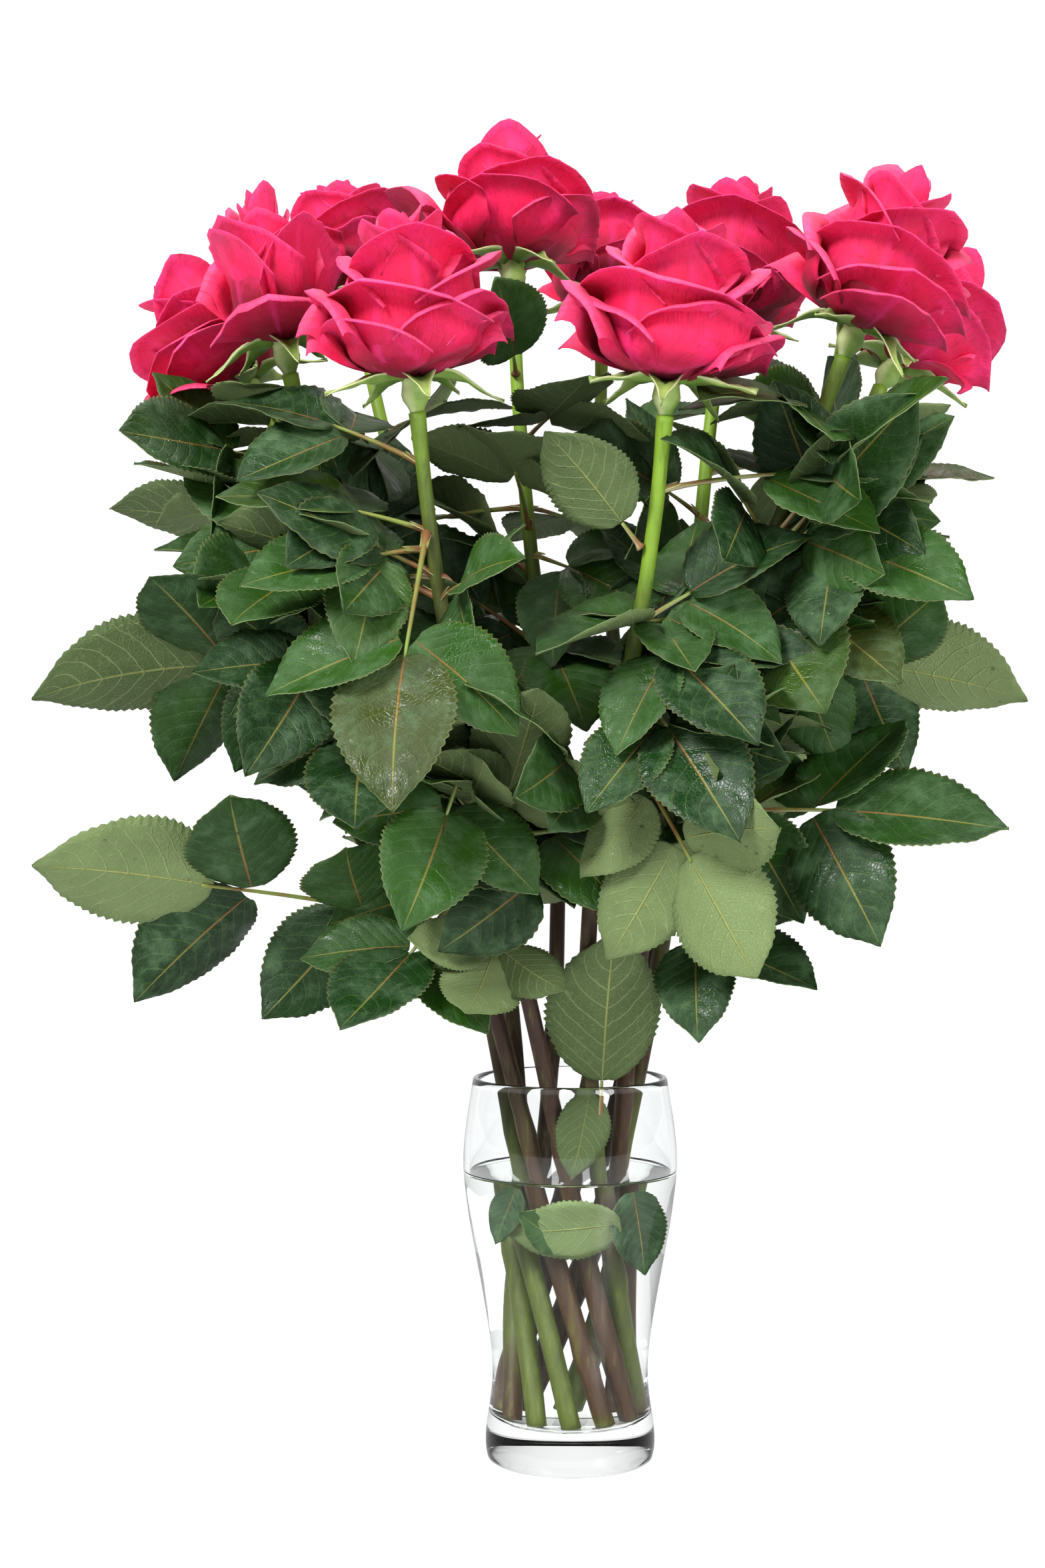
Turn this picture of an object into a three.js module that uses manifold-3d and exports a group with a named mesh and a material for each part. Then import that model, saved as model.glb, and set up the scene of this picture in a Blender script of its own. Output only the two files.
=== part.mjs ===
// A hand-tied bunch of ten garden roses standing in a clear, tulip-shaped glass of water.
// Millimetres, +Z up. The origin is the middle of the glass's underside; the front of the bunch looks along -Y.
import * as THREE from "three";
import { mergeVertices } from "three/addons/utils/BufferGeometryUtils.js";
import Module from "manifold-3d";

const wasm = await Module();
wasm.setup();

// Clearances
const SEAT_GAP = 0.3; // between two pieces that touch
const LEAF_GAP = 0.4; // the least air round a leaf
const WATER_GAP = 0.5; // between the water and what stands in it
const SMALLEST_DETAIL = 0.3; // edges finer than this are evened out where blades join

// The glass
const VASE_HEIGHT = 160;
const RIM_DIAMETER = 81.5;
const BELLY_DIAMETER = 90;
const BELLY_HEIGHT = 120;
const WAIST_DIAMETER = 65;
const WAIST_HEIGHT = 34;
const FOOT_DIAMETER = 71.3;
const HEEL_HEIGHT = 3;
const FLOOR_THICKNESS = 16;
const WALL_THICKNESS = 2.4;
const FLOOR_ROUNDING = 9;
const LATHE_SIDES = 28;
const WATER_DEPTH = 104;

// The stems
const STEM_DIAMETER = 7.6;
const STEM_SIDES = 6;
const STEM_STEPS = 13;
const FOOT_RING = 21.5; // radius of the ring that the cut ends stand on
const MOUTH_RING = 28.5; // radius of the ring that the stems pass the mouth in
const TWIST = 92; // how far round the ring a stem's foot is from its place at the mouth, degrees
const STRAIGHT_SHARE = 0.32; // the share of a stem's course that lies in the glass

// The flower heads
const HEAD_WIDTH = 88;
const HEAD_ASPECT = 0.75; // height over width
const HEAD_SIDES = 15;
const HEAD_LOBES = 5;
const LOBE_DEPTH = 0.05;
const BUNCH_REACH = 540; // height of the middle of the highest head
const HIP_DIAMETER = 13;
const HIP_HEIGHT = 13;
const SEPAL_LENGTH = 27;
const SEPAL_WIDTH = 9;
const SEPAL_DROOP = 38; // how far a sepal hangs under the level, degrees

// The leaves
const BLADE_THICKNESS = 1.1;
const RACHIS_DIAMETER = 2.4;
const LEAFLET_SHARE = 0.52; // an end leaflet's length over its whole leaf's length
const LONGEST_LEAFLET = 76;
const SHORTEST_LEAFLET = 54;
const SINGLE_SHARE = 0.8; // the same for a leaf with one leaflet
const WHOLE_SHARE = 0.7; // the most of a short leaf that its end leaflet takes up
const LEAFLET_ASPECT = 0.72; // width over length
const LEAFLET_SPREAD = 62; // angle between a side leaflet and the rachis, degrees
const LEAFLET_FOLD = 0.16; // how far a blade folds up from its midrib
const LEAF_DROOP = 0.16; // sag of the tip over the leaf's length
const TURN_STEP = 7; // the step in which a leaf swings round to a free place, degrees
const TURN_STEPS = 6;
const TURN_DIRECTIONS = 8;
const SEATING_TRIES = 2; // how often a leaf is slid up to its stem

// The layout is drawn for heads of this width and for this height of bunch above the glass.
const DRAWN_HEAD = 88;
const DRAWN_RISE = 380;
const SPREAD = HEAD_WIDTH / DRAWN_HEAD;
const RISE = (BUNCH_REACH - VASE_HEIGHT) / DRAWN_RISE;

// name, place in the ring, middle of the head (across, back, below the highest head),
// the direction and the angle of its lean, width and height over the standard head
const ROSES = [
  ["front_left", 0, -65, -85, 67, -120, 10, 1.0, 1.0],
  ["front_right", 1, 38, -90, 69, -70, 10, 1.03, 1.0],
  ["right", 2, 126, -50, 42, -20, 22, 1.03, 1.03],
  ["inner_right", 3, 70, 22, 29, 20, 8, 0.93, 1.0],
  ["far_right", 4, 161, 72, 44, 25, 32, 0.95, 0.95],
  ["back_right", 5, 19, 128, 5, 80, 14, 0.9, 0.92],
  ["top", 6, -25, 42, 0, 100, 8, 0.97, 0.94],
  ["back_left", 7, -104, 122, 3, 130, 18, 0.94, 0.94],
  ["far_left", 8, -160, 48, 57, 178, 36, 1.0, 0.95],
  ["left_bud", 9, -124, -30, 44, 205, 12, 0.68, 1.0],
];
const FIRST_SLOT = -110; // degrees round from the right

// Where a leaf's upper face looks
const UP = [0, 0, 1];
const FRONT_UP = [0, -0.75, 0.66];
const FRONT = [0.05, -1, 0.15];
const AWAY_UP = [0, 0.8, 0.6];
const AWAY = [0.1, 1, 0.2];
const BACK_UP = [0, 0.5, 0.86];

// name, leaflets, the rose that it grows on, where it leaves the stem (above the rim),
// the place of its tip (across, back, above the rim), and where its upper face looks
const LEAVES = [
  ["left_tip", 5, "left_bud", 175, -218, -30, 165, AWAY_UP],
  ["left_high", 3, "far_left", 230, -178, -25, 268, UP],
  ["left_olive", 3, "far_left", 215, -205, 60, 245, BACK_UP],
  ["front_hanging", 3, "front_left", 222, -72, -128, 112, FRONT],
  ["front_swept", 3, "front_left", 216, -132, -92, 196, FRONT_UP],
  ["left_glossy", 3, "left_bud", 195, -122, -75, 126, FRONT],
  ["low_left", 5, "far_left", 62, -215, -60, 88, AWAY_UP],
  ["low_left_inner", 3, "left_bud", 75, -88, -82, 20, FRONT_UP],
  ["front_dark", 3, "front_left", 135, -62, -105, 66, FRONT],
  ["low_pale", 3, "front_left", 70, -40, -88, 30, AWAY],
  ["centre_olive", 3, "top", 270, 5, -62, 275, UP],
  ["centre_bract", 1, "top", 300, -30, -25, 335, FRONT],
  ["front_bract", 1, "front_right", 215, -8, -100, 258, AWAY_UP],
  ["front_fold", 5, "front_right", 140, 62, -115, 48, AWAY_UP],
  ["front_side", 3, "front_right", 165, 70, -100, 102, FRONT_UP],
  ["mouth_upright", 1, "front_right", -14, 22, -58, 66, AWAY],
  ["right_pale", 5, "right", 182, 184, -44, 156, AWAY_UP],
  ["right_bright", 3, "inner_right", 235, 98, -72, 148, FRONT],
  ["right_mid", 3, "right", 222, 34, -84, 262, FRONT_UP],
  ["right_high", 3, "right", 240, 172, -30, 246, UP],
  ["low_right", 5, "right", 112, 174, -56, 132, FRONT_UP],
  ["low_right_inner", 3, "right", 68, 96, -74, 40, FRONT_UP],
  ["back_low", 5, "back_left", 80, -92, 120, 92, BACK_UP],
  ["back_mid", 5, "back_right", 150, 60, 165, 190, BACK_UP],
  ["back_right", 5, "far_right", 140, 165, 105, 170, BACK_UP],
  ["back_high", 5, "back_left", 225, -160, 140, 240, BACK_UP],
];

// The same for the leaves under water, where the glass is narrow: each hugs its stem.
const SUNK_LEAVES = [
  ["sunk_pale", 1, "front_left", -66, -18, -33, -50, FRONT],
  ["sunk_green", 1, "right", -72, 35, -13, -54, FRONT_UP],
];

const group = new THREE.Group();
const placed = [];

function toSolid(geometry) {
  const bare = geometry.clone();
  bare.deleteAttribute("normal");
  bare.deleteAttribute("uv");
  const merged = mergeVertices(bare, 1e-4);
  return new wasm.Manifold(
    new wasm.Mesh({
      numProp: 3,
      vertProperties: merged.attributes.position.array,
      triVerts: new Uint32Array(merged.index.array),
    }),
  );
}

function toGeometry(solid) {
  const mesh = solid.getMesh();
  const geometry = new THREE.BufferGeometry();
  geometry.setAttribute("position", new THREE.BufferAttribute(new Float32Array(mesh.vertProperties), 3));
  geometry.setIndex(new THREE.BufferAttribute(new Uint32Array(mesh.triVerts), 1));
  geometry.computeVertexNormals();
  return geometry;
}

function warp(geometry, move) {
  const places = geometry.attributes.position;
  const point = new THREE.Vector3();
  for (let i = 0; i < places.count; i++) {
    point.fromBufferAttribute(places, i);
    move(point);
    places.setXYZ(i, point.x, point.y, point.z);
  }
  return geometry;
}

function material(color, roughness, metalness = 0) {
  return new THREE.MeshStandardMaterial({ color, roughness, metalness, flatShading: true });
}

// Puts a mesh in its group and remembers the room that it takes up.
function place(parent, name, geometry, look) {
  const mesh = new THREE.Mesh(geometry, look);
  mesh.name = name;
  parent.add(mesh);
  remember(mesh);
  return mesh;
}

function remember(mesh) {
  mesh.updateWorldMatrix(true, false);
  const solid = toSolid(mesh.geometry).transform(mesh.matrixWorld.elements);
  placed.push({ name: mesh.name, solid, box: solid.boundingBox() });
}

function boxesMeet(a, b, gap) {
  return [0, 1, 2].every((k) => a.min[k] - gap < b.max[k] && b.min[k] - gap < a.max[k]);
}

// Whether a leaf has air all round it. Its own stem may be as near as a seat is.
function clear(solid, stemName) {
  const box = solid.boundingBox();
  return placed.every((other) => {
    const gap = other.name === stemName ? 0.9 * SEAT_GAP : LEAF_GAP;
    return !boxesMeet(box, other.box, gap) || solid.minGap(other.solid, gap) >= gap;
  });
}

// ---- The glass and the water ----

const glassSide = new THREE.SplineCurve([
  new THREE.Vector2(FOOT_DIAMETER / 2, HEEL_HEIGHT),
  new THREE.Vector2(FOOT_DIAMETER / 2 - 0.6, FLOOR_THICKNESS * 0.7),
  new THREE.Vector2(WAIST_DIAMETER / 2, WAIST_HEIGHT),
  new THREE.Vector2(WAIST_DIAMETER * 0.25 + BELLY_DIAMETER * 0.25, (WAIST_HEIGHT + BELLY_HEIGHT) / 2),
  new THREE.Vector2(BELLY_DIAMETER / 2, BELLY_HEIGHT),
  new THREE.Vector2(RIM_DIAMETER / 2, VASE_HEIGHT),
]);
const SIDE_STEPS = 10;
const sidePoints = glassSide.getPoints(SIDE_STEPS);

function outerRadius(z) {
  const above = sidePoints.findIndex((p) => p.y >= z);
  if (above <= 0) return sidePoints[above < 0 ? SIDE_STEPS : 0].x;
  const low = sidePoints[above - 1];
  const high = sidePoints[above];
  return THREE.MathUtils.mapLinear(z, low.y, high.y, low.x, high.x);
}

// The inside of the wall, which rounds in to the floor.
function innerRadius(z) {
  const left = Math.max(0, 1 - (z - FLOOR_THICKNESS) / FLOOR_ROUNDING);
  return outerRadius(z) - WALL_THICKNESS - FLOOR_ROUNDING * (1 - Math.sqrt(1 - left * left));
}

// The inside of the glass from the floor's edge up to the rim.
const INSIDE_STEPS = [0, 0.02, 0.06, 0.18, 0.34, 0.52, 0.7, 0.85, 1];
const insidePoints = INSIDE_STEPS.map((share) => {
  const z = THREE.MathUtils.lerp(FLOOR_THICKNESS, VASE_HEIGHT, share);
  return new THREE.Vector2(innerRadius(z), z);
});

// The same line, a little inside it, up to a level.
function waterSide(level) {
  const above = insidePoints.findIndex((p) => p.y > level);
  const share = (level - insidePoints[above - 1].y) / (insidePoints[above].y - insidePoints[above - 1].y);
  const side = insidePoints.slice(0, above).map((p) => new THREE.Vector2(p.x - SEAT_GAP, p.y + SEAT_GAP));
  const top = insidePoints[above - 1].clone().lerp(insidePoints[above], share);
  return [...side, new THREE.Vector2(top.x - SEAT_GAP, level)];
}

function lathe(points, sides) {
  return new THREE.LatheGeometry(points, sides).rotateX(Math.PI / 2);
}

function vaseGeometry() {
  const underside = [new THREE.Vector2(0, 0), new THREE.Vector2(FOOT_DIAMETER / 2 - HEEL_HEIGHT * 0.6, 0)];
  const inside = [...insidePoints].reverse();
  const centre = new THREE.Vector2(0, FLOOR_THICKNESS);
  return lathe([...underside, ...sidePoints, ...inside, centre], LATHE_SIDES);
}

// The water fills the glass round whatever stands in it.
function waterGeometry(standing) {
  const floor = FLOOR_THICKNESS + SEAT_GAP;
  const level = FLOOR_THICKNESS + WATER_DEPTH;
  const side = waterSide(level);
  const body = lathe([new THREE.Vector2(0, floor), ...side, new THREE.Vector2(0, level)], LATHE_SIDES);
  let water = toSolid(body);
  for (const thing of standing) water = water.subtract(thing);
  const pieces = water.decompose().sort((a, b) => b.volume() - a.volume());
  return toGeometry(pieces[0]);
}

// ---- The stems ----

// A stem stands straight in the glass and bends above it towards its head.
class StemCurve extends THREE.Curve {
  constructor(foot, mouth, top, axis) {
    super();
    this.straight = new THREE.LineCurve3(foot, mouth);
    const reach = top.distanceTo(mouth) * 0.42;
    const onward = mouth.clone().sub(foot).normalize().multiplyScalar(reach).add(mouth);
    const under = axis.clone().multiplyScalar(-reach).add(top);
    this.bend = new THREE.CubicBezierCurve3(mouth, onward, under, top);
  }

  getPoint(t, target = new THREE.Vector3()) {
    if (t <= STRAIGHT_SHARE) return this.straight.getPoint(t / STRAIGHT_SHARE, target);
    return this.bend.getPoint((t - STRAIGHT_SHARE) / (1 - STRAIGHT_SHARE), target);
  }

  // The place on the curve at a height, and the curve's direction there.
  at(z) {
    let low = 0;
    let high = 1;
    for (let i = 0; i < 30; i++) {
      const middle = (low + high) / 2;
      if (this.getPoint(middle).z < z) low = middle;
      else high = middle;
    }
    return { point: this.getPoint(low), tangent: this.getTangent(low) };
  }
}

function polygon(radius, sides) {
  const shape = new THREE.Shape();
  for (let i = 0; i < sides; i++) {
    const angle = (i / sides) * 2 * Math.PI;
    const x = radius * Math.cos(angle);
    const y = radius * Math.sin(angle);
    if (i === 0) shape.moveTo(x, y);
    else shape.lineTo(x, y);
  }
  return shape;
}

function rod(curve, diameter, sides, steps) {
  return new THREE.ExtrudeGeometry(polygon(diameter / 2, sides), {
    extrudePath: curve,
    steps,
    curveSegments: sides,
    bevelEnabled: false,
  });
}

function onRing(radius, degrees, z) {
  const angle = THREE.MathUtils.degToRad(degrees);
  return new THREE.Vector3(radius * Math.cos(angle), radius * Math.sin(angle), z);
}

function leanAxis(azimuth, lean) {
  const tilt = THREE.MathUtils.degToRad(lean);
  return onRing(Math.sin(tilt), azimuth, Math.cos(tilt));
}

// A rose's lasting facts: its axis, the sizes of its head and the course of its stem.
function layOutRose([name, slot, across, back, below, azimuth, lean, wide, tall]) {
  const axis = leanAxis(azimuth, lean);
  const width = HEAD_WIDTH * wide;
  const height = HEAD_WIDTH * HEAD_ASPECT * tall;
  const middle = new THREE.Vector3(across * SPREAD, back * SPREAD, BUNCH_REACH - below * RISE);
  const seat = middle.clone().addScaledVector(axis, -height / 2 - SEAT_GAP - HIP_HEIGHT);
  const top = seat.clone().addScaledVector(axis, -SEAT_GAP);
  const angle = FIRST_SLOT + (360 / ROSES.length) * slot;
  const mouth = onRing(MOUTH_RING, angle, VASE_HEIGHT);
  const foot = onRing(FOOT_RING, angle + TWIST, FLOOR_THICKNESS);
  const slope = mouth.clone().sub(foot).normalize();
  foot.z += SEAT_GAP + (STEM_DIAMETER / 2) * Math.sqrt(1 - slope.z * slope.z);
  return { name, axis, width, height, seat, foot, mouth, curve: new StemCurve(foot, mouth, top, axis) };
}

// The room that a stem needs in the water: its straight part, a little wider and running out of both ends.
function stemChannel(rose) {
  const along = rose.mouth.clone().sub(rose.foot).normalize();
  const start = rose.foot.clone().addScaledVector(along, -STEM_DIAMETER);
  const line = new THREE.LineCurve3(start, rose.mouth);
  return toSolid(rod(line, STEM_DIAMETER + 4 * WATER_GAP, STEM_SIDES * 2, 1));
}

// ---- The flower heads ----

// A head in outline: cupped outer petals round a closed heart.
function headGeometry(width, height) {
  const outline = [
    [0, 0], [0.08, 0], [0.3, 0.09], [0.45, 0.36], [0.5, 0.62],
    [0.47, 0.84], [0.34, 0.93], [0.2, 0.86], [0.1, 0.97], [0, 1],
  ];
  const points = outline.map(([out, up]) => new THREE.Vector2(out * width, up * height));
  const geometry = lathe(points, HEAD_SIDES);
  return warp(geometry, (p) => {
    const lobe = 1 - LOBE_DEPTH * (1 - Math.cos(HEAD_LOBES * Math.atan2(p.y, p.x)));
    p.x *= lobe;
    p.y *= lobe;
  });
}

// A flat blade along +X, as broad as a leaflet is, folded up from its midrib.
function bladeGeometry(length, width, thickness, fold, steps = 4) {
  const box = new THREE.BoxGeometry(1, 1, thickness, steps, 2, 1);
  return warp(box, (p) => {
    const along = p.x + 0.5;
    const full = Math.max(0.03, Math.max(0, Math.sin(Math.PI * along ** 0.8)) ** 0.75);
    const across = p.y * width * full;
    p.set(along * length, across, p.z + fold * Math.abs(across));
  });
}

function sepalSolid(index) {
  const blade = bladeGeometry(SEPAL_LENGTH, SEPAL_WIDTH, BLADE_THICKNESS, LEAFLET_FOLD, 2);
  blade.rotateY(THREE.MathUtils.degToRad(SEPAL_DROOP));
  blade.translate(HIP_DIAMETER * 0.3, 0, HIP_HEIGHT - 3 * BLADE_THICKNESS);
  blade.rotateZ((index / HEAD_LOBES) * 2 * Math.PI);
  return toSolid(blade);
}

// The green hip under the petals and the five sepals that fold back from it.
function calyxGeometry() {
  const wide = HIP_DIAMETER / 2;
  const outline = [[0, 0], [wide * 0.62, 0], [wide, 0.45 * HIP_HEIGHT], [wide * 0.9, HIP_HEIGHT], [0, HIP_HEIGHT]];
  const points = outline.map(([out, up]) => new THREE.Vector2(out, up));
  let calyx = toSolid(lathe(points, HEAD_SIDES - HEAD_LOBES));
  for (let i = 0; i < HEAD_LOBES; i++) calyx = calyx.add(sepalSolid(i));
  return toGeometry(calyx.simplify(SMALLEST_DETAIL));
}

// ---- The leaves ----

// A leaf lies along +X from its stalk's foot, its upper face to +Z, as long as the straight line to its tip.
function leafGeometry(chord, leaflets, grow = 0) {
  const length = chord / Math.hypot(1, LEAF_DROOP);
  const wanted = Math.min(LONGEST_LEAFLET, Math.max(SHORTEST_LEAFLET, LEAFLET_SHARE * length));
  const end = leaflets === 1 ? SINGLE_SHARE * length : Math.min(wanted, WHOLE_SHARE * length);
  const stalk = length - end;
  const thickness = BLADE_THICKNESS + 2 * grow;
  const line = new THREE.LineCurve3(new THREE.Vector3(-grow, 0, 0), new THREE.Vector3(stalk + 3, 0, 0));
  let leaf = toSolid(rod(line, RACHIS_DIAMETER + 2 * grow, 4, 2));
  const blades = [[stalk, end, 0]];
  if (leaflets >= 3) for (const side of [1, -1]) blades.push([stalk * 0.86, end * 0.92, side]);
  if (leaflets >= 5) for (const side of [1, -1]) blades.push([stalk * 0.42, end * 0.78, side]);
  for (const [start, size, side] of blades) {
    const blade = bladeGeometry(size + 2 * grow, size * LEAFLET_ASPECT + 2 * grow, thickness, LEAFLET_FOLD);
    blade.rotateZ(THREE.MathUtils.degToRad(side * LEAFLET_SPREAD));
    blade.translate(start - grow, 0, 0);
    leaf = leaf.add(toSolid(blade));
  }
  const geometry = warp(toGeometry(leaf.simplify(SMALLEST_DETAIL)), (p) => {
    p.z -= (LEAF_DROOP * p.x * p.x) / length;
  });
  return geometry.rotateY(-Math.atan(LEAF_DROOP));
}

// The matrix that lays a leaf towards a direction, its stalk's foot just off the stem that bears it.
function leafMatrix(solid, stem, spot, direction, facing) {
  const look = new THREE.Vector3(...facing);
  const normal = look.clone().addScaledVector(direction, -direction.dot(look)).normalize();
  const across = normal.clone().cross(direction);
  const outward = direction.clone().addScaledVector(spot.tangent, -direction.dot(spot.tangent)).normalize();
  const foot = spot.point.clone().addScaledVector(outward, STEM_DIAMETER / 2 + RACHIS_DIAMETER);
  const matrix = new THREE.Matrix4().makeBasis(direction, across, normal);
  for (let i = 0; i < SEATING_TRIES; i++) {
    matrix.setPosition(foot);
    const gap = solid.transform(matrix.elements).minGap(stem.solid, STEM_DIAMETER);
    foot.addScaledVector(outward, SEAT_GAP - gap);
  }
  return matrix.setPosition(foot);
}

// The directions that a leaf tries, nearest to its own first.
function* turns(direction) {
  const level = new THREE.Vector3(-direction.y, direction.x, 0).normalize();
  const upward = direction.clone().cross(level).negate();
  yield direction;
  for (let ring = 1; ring <= TURN_STEPS; ring++) {
    const tilt = Math.tan(THREE.MathUtils.degToRad(ring * TURN_STEP));
    for (let i = 0; i < TURN_DIRECTIONS; i++) {
      const angle = (i / TURN_DIRECTIONS) * 2 * Math.PI;
      const turned = direction.clone();
      turned.addScaledVector(level, tilt * Math.cos(angle));
      turned.addScaledVector(upward, tilt * Math.sin(angle));
      yield turned.normalize();
    }
  }
}

// Lays a leaf towards its tip, swung aside just far enough to clear everything that is there already.
function placeLeaf([name, leaflets, on, from, across, back, up, facing], look) {
  const rose = roses.find((r) => r.name === on);
  const spot = rose.curve.at(VASE_HEIGHT + from * (from > 0 ? RISE : 1));
  const tip = new THREE.Vector3(across * SPREAD, back * SPREAD, VASE_HEIGHT + up * (up > 0 ? RISE : 1));
  const way = tip.clone().sub(spot.point);
  const chord = way.length() - STEM_DIAMETER / 2;
  const geometry = leafGeometry(chord, leaflets);
  const solid = toSolid(geometry);
  const stem = placed.find((other) => other.name === "stem_" + on);
  const words = { 1: "one", 3: "three", 5: "five" };
  let chosen = null;
  for (const direction of turns(way.normalize())) {
    const matrix = leafMatrix(solid, stem, spot, direction, facing);
    chosen = chosen ?? matrix;
    if (clear(solid.transform(matrix.elements), stem.name)) {
      chosen = matrix;
      break;
    }
  }
  const mesh = new THREE.Mesh(geometry, look);
  mesh.name = "leaf_" + words[leaflets] + "_" + name;
  mesh.applyMatrix4(chosen);
  group.add(mesh);
  remember(mesh);
  return { chord, leaflets, matrix: chosen };
}

// ---- Everything in its place ----

const glass = material(0xf4f8fa, 0.03);
const waterLook = material(0xe9f1ee, 0.02);
const youngWood = material(0x6f8a34, 0.5);
const petalLook = material(0xe0325f, 0.65);
const sepalLook = material(0x9fb56a, 0.6);
const leafLook = material(0x2f5a28, 0.45);

place(group, "vase", vaseGeometry(), glass);

const roses = ROSES.map(layOutRose);
for (const rose of roses) {
  place(group, "stem_" + rose.name, rod(rose.curve, STEM_DIAMETER, STEM_SIDES, STEM_STEPS), youngWood);
}
for (const rose of roses) {
  const head = new THREE.Group();
  head.position.copy(rose.seat);
  head.quaternion.setFromUnitVectors(new THREE.Vector3(0, 0, 1), rose.axis);
  group.add(head);
  place(head, "calyx_" + rose.name, calyxGeometry(), sepalLook);
  const bloom = headGeometry(rose.width, rose.height);
  bloom.translate(0, 0, HIP_HEIGHT + SEAT_GAP);
  place(head, "bloom_" + rose.name, bloom, petalLook);
}
const sunk = SUNK_LEAVES.map((leaf) => placeLeaf(leaf, leafLook));
for (const leaf of LEAVES) placeLeaf(leaf, leafLook);

const leafRooms = sunk.map(({ chord, leaflets, matrix }) =>
  toSolid(leafGeometry(chord, leaflets, WATER_GAP)).transform(matrix.elements),
);
const water = new THREE.Mesh(waterGeometry([...roses.map(stemChannel), ...leafRooms]), waterLook);
water.name = "water";
group.add(water);

export default group;
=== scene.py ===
"""Ten garden roses in a clear tulip glass of water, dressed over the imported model.

Petals, sepals, leaves, stems and glass are built here in mesh code, in metres, each at the
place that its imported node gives: the stems along their nodes' middle lines, the heads on
their own axes, and each leaf from its stalk's foot to its tip.
"""

import bpy
import bmesh
import math
import random
import numpy as np
from mathutils import Matrix, Vector, noise


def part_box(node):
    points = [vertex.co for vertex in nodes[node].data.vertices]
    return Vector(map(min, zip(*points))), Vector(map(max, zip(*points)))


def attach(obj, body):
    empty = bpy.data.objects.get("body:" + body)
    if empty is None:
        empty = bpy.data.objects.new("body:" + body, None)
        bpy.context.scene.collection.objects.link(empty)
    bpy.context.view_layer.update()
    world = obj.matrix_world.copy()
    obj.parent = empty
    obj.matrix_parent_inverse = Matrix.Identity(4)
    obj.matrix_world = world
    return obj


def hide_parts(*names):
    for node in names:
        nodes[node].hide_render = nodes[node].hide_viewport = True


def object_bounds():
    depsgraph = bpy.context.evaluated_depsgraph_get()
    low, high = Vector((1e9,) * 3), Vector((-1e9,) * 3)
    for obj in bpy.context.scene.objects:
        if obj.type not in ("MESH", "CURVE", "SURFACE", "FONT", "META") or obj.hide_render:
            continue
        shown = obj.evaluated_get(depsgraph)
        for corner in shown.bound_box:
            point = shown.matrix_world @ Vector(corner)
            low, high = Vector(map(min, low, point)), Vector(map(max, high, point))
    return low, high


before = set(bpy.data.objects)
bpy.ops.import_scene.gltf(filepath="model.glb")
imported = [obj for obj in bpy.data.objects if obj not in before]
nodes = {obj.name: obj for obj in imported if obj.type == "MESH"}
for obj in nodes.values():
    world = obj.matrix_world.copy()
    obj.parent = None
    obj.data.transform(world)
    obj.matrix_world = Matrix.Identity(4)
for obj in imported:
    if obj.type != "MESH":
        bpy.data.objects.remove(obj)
cad_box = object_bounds()

MM = 0.001
TAU = 2 * math.pi
UP = Vector((0, 0, 1))
DOWN = Vector((0, 0, -1))

# Which rose bears which leaf.
LEAF_STEMS = {
    "left_tip": "left_bud", "left_high": "far_left", "left_olive": "far_left",
    "front_hanging": "front_left", "front_swept": "front_left", "left_glossy": "left_bud",
    "low_left": "far_left", "low_left_inner": "left_bud", "front_dark": "front_left",
    "low_pale": "front_left", "centre_olive": "top", "centre_bract": "top",
    "front_bract": "front_right", "front_fold": "front_right", "front_side": "front_right",
    "mouth_upright": "front_right", "right_bright": "inner_right", "right_mid": "right",
    "right_high": "right", "right_pale": "right", "low_right": "right",
    "low_right_inner": "right", "back_low": "back_left", "back_mid": "back_right",
    "back_right": "far_right", "back_high": "back_left", "sunk_pale": "front_left",
    "sunk_green": "right",
}

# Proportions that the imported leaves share: the end leaflet's share of the leaf and its longest and
# shortest length, width over length, the angle of the side leaflets, and how far the stalk sags.
LEAFLET_SHARE = 0.52
LONGEST_LEAFLET = 76 * MM
SHORTEST_LEAFLET = 54 * MM
WHOLE_SHARE = 0.7
SINGLE_SHARE = 0.8
LEAFLET_ASPECT = 0.72
LEAFLET_SPREAD = math.radians(62)
LEAF_DROOP = 0.16
NUMBERS = {"one": 1, "three": 3, "five": 5}

# Rows and columns of the meshes, and the thickness of what is thin.
PETAL_GRID = (14, 18)
LEAFLET_GRID = (8, 63)
FILLER_GRID = (6, 26)
PETAL_THICK = 0.45 * MM
LEAFLET_THICK = 0.32 * MM
SEPAL_THICK = 0.5 * MM
WING_THICK = 0.35 * MM
TEETH = 21
VEINS = 8.5

# Leaves whose side leaflets twist over and show the other face.
TWISTED = {"left_tip", "right_pale", "low_left", "right_high"}

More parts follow.
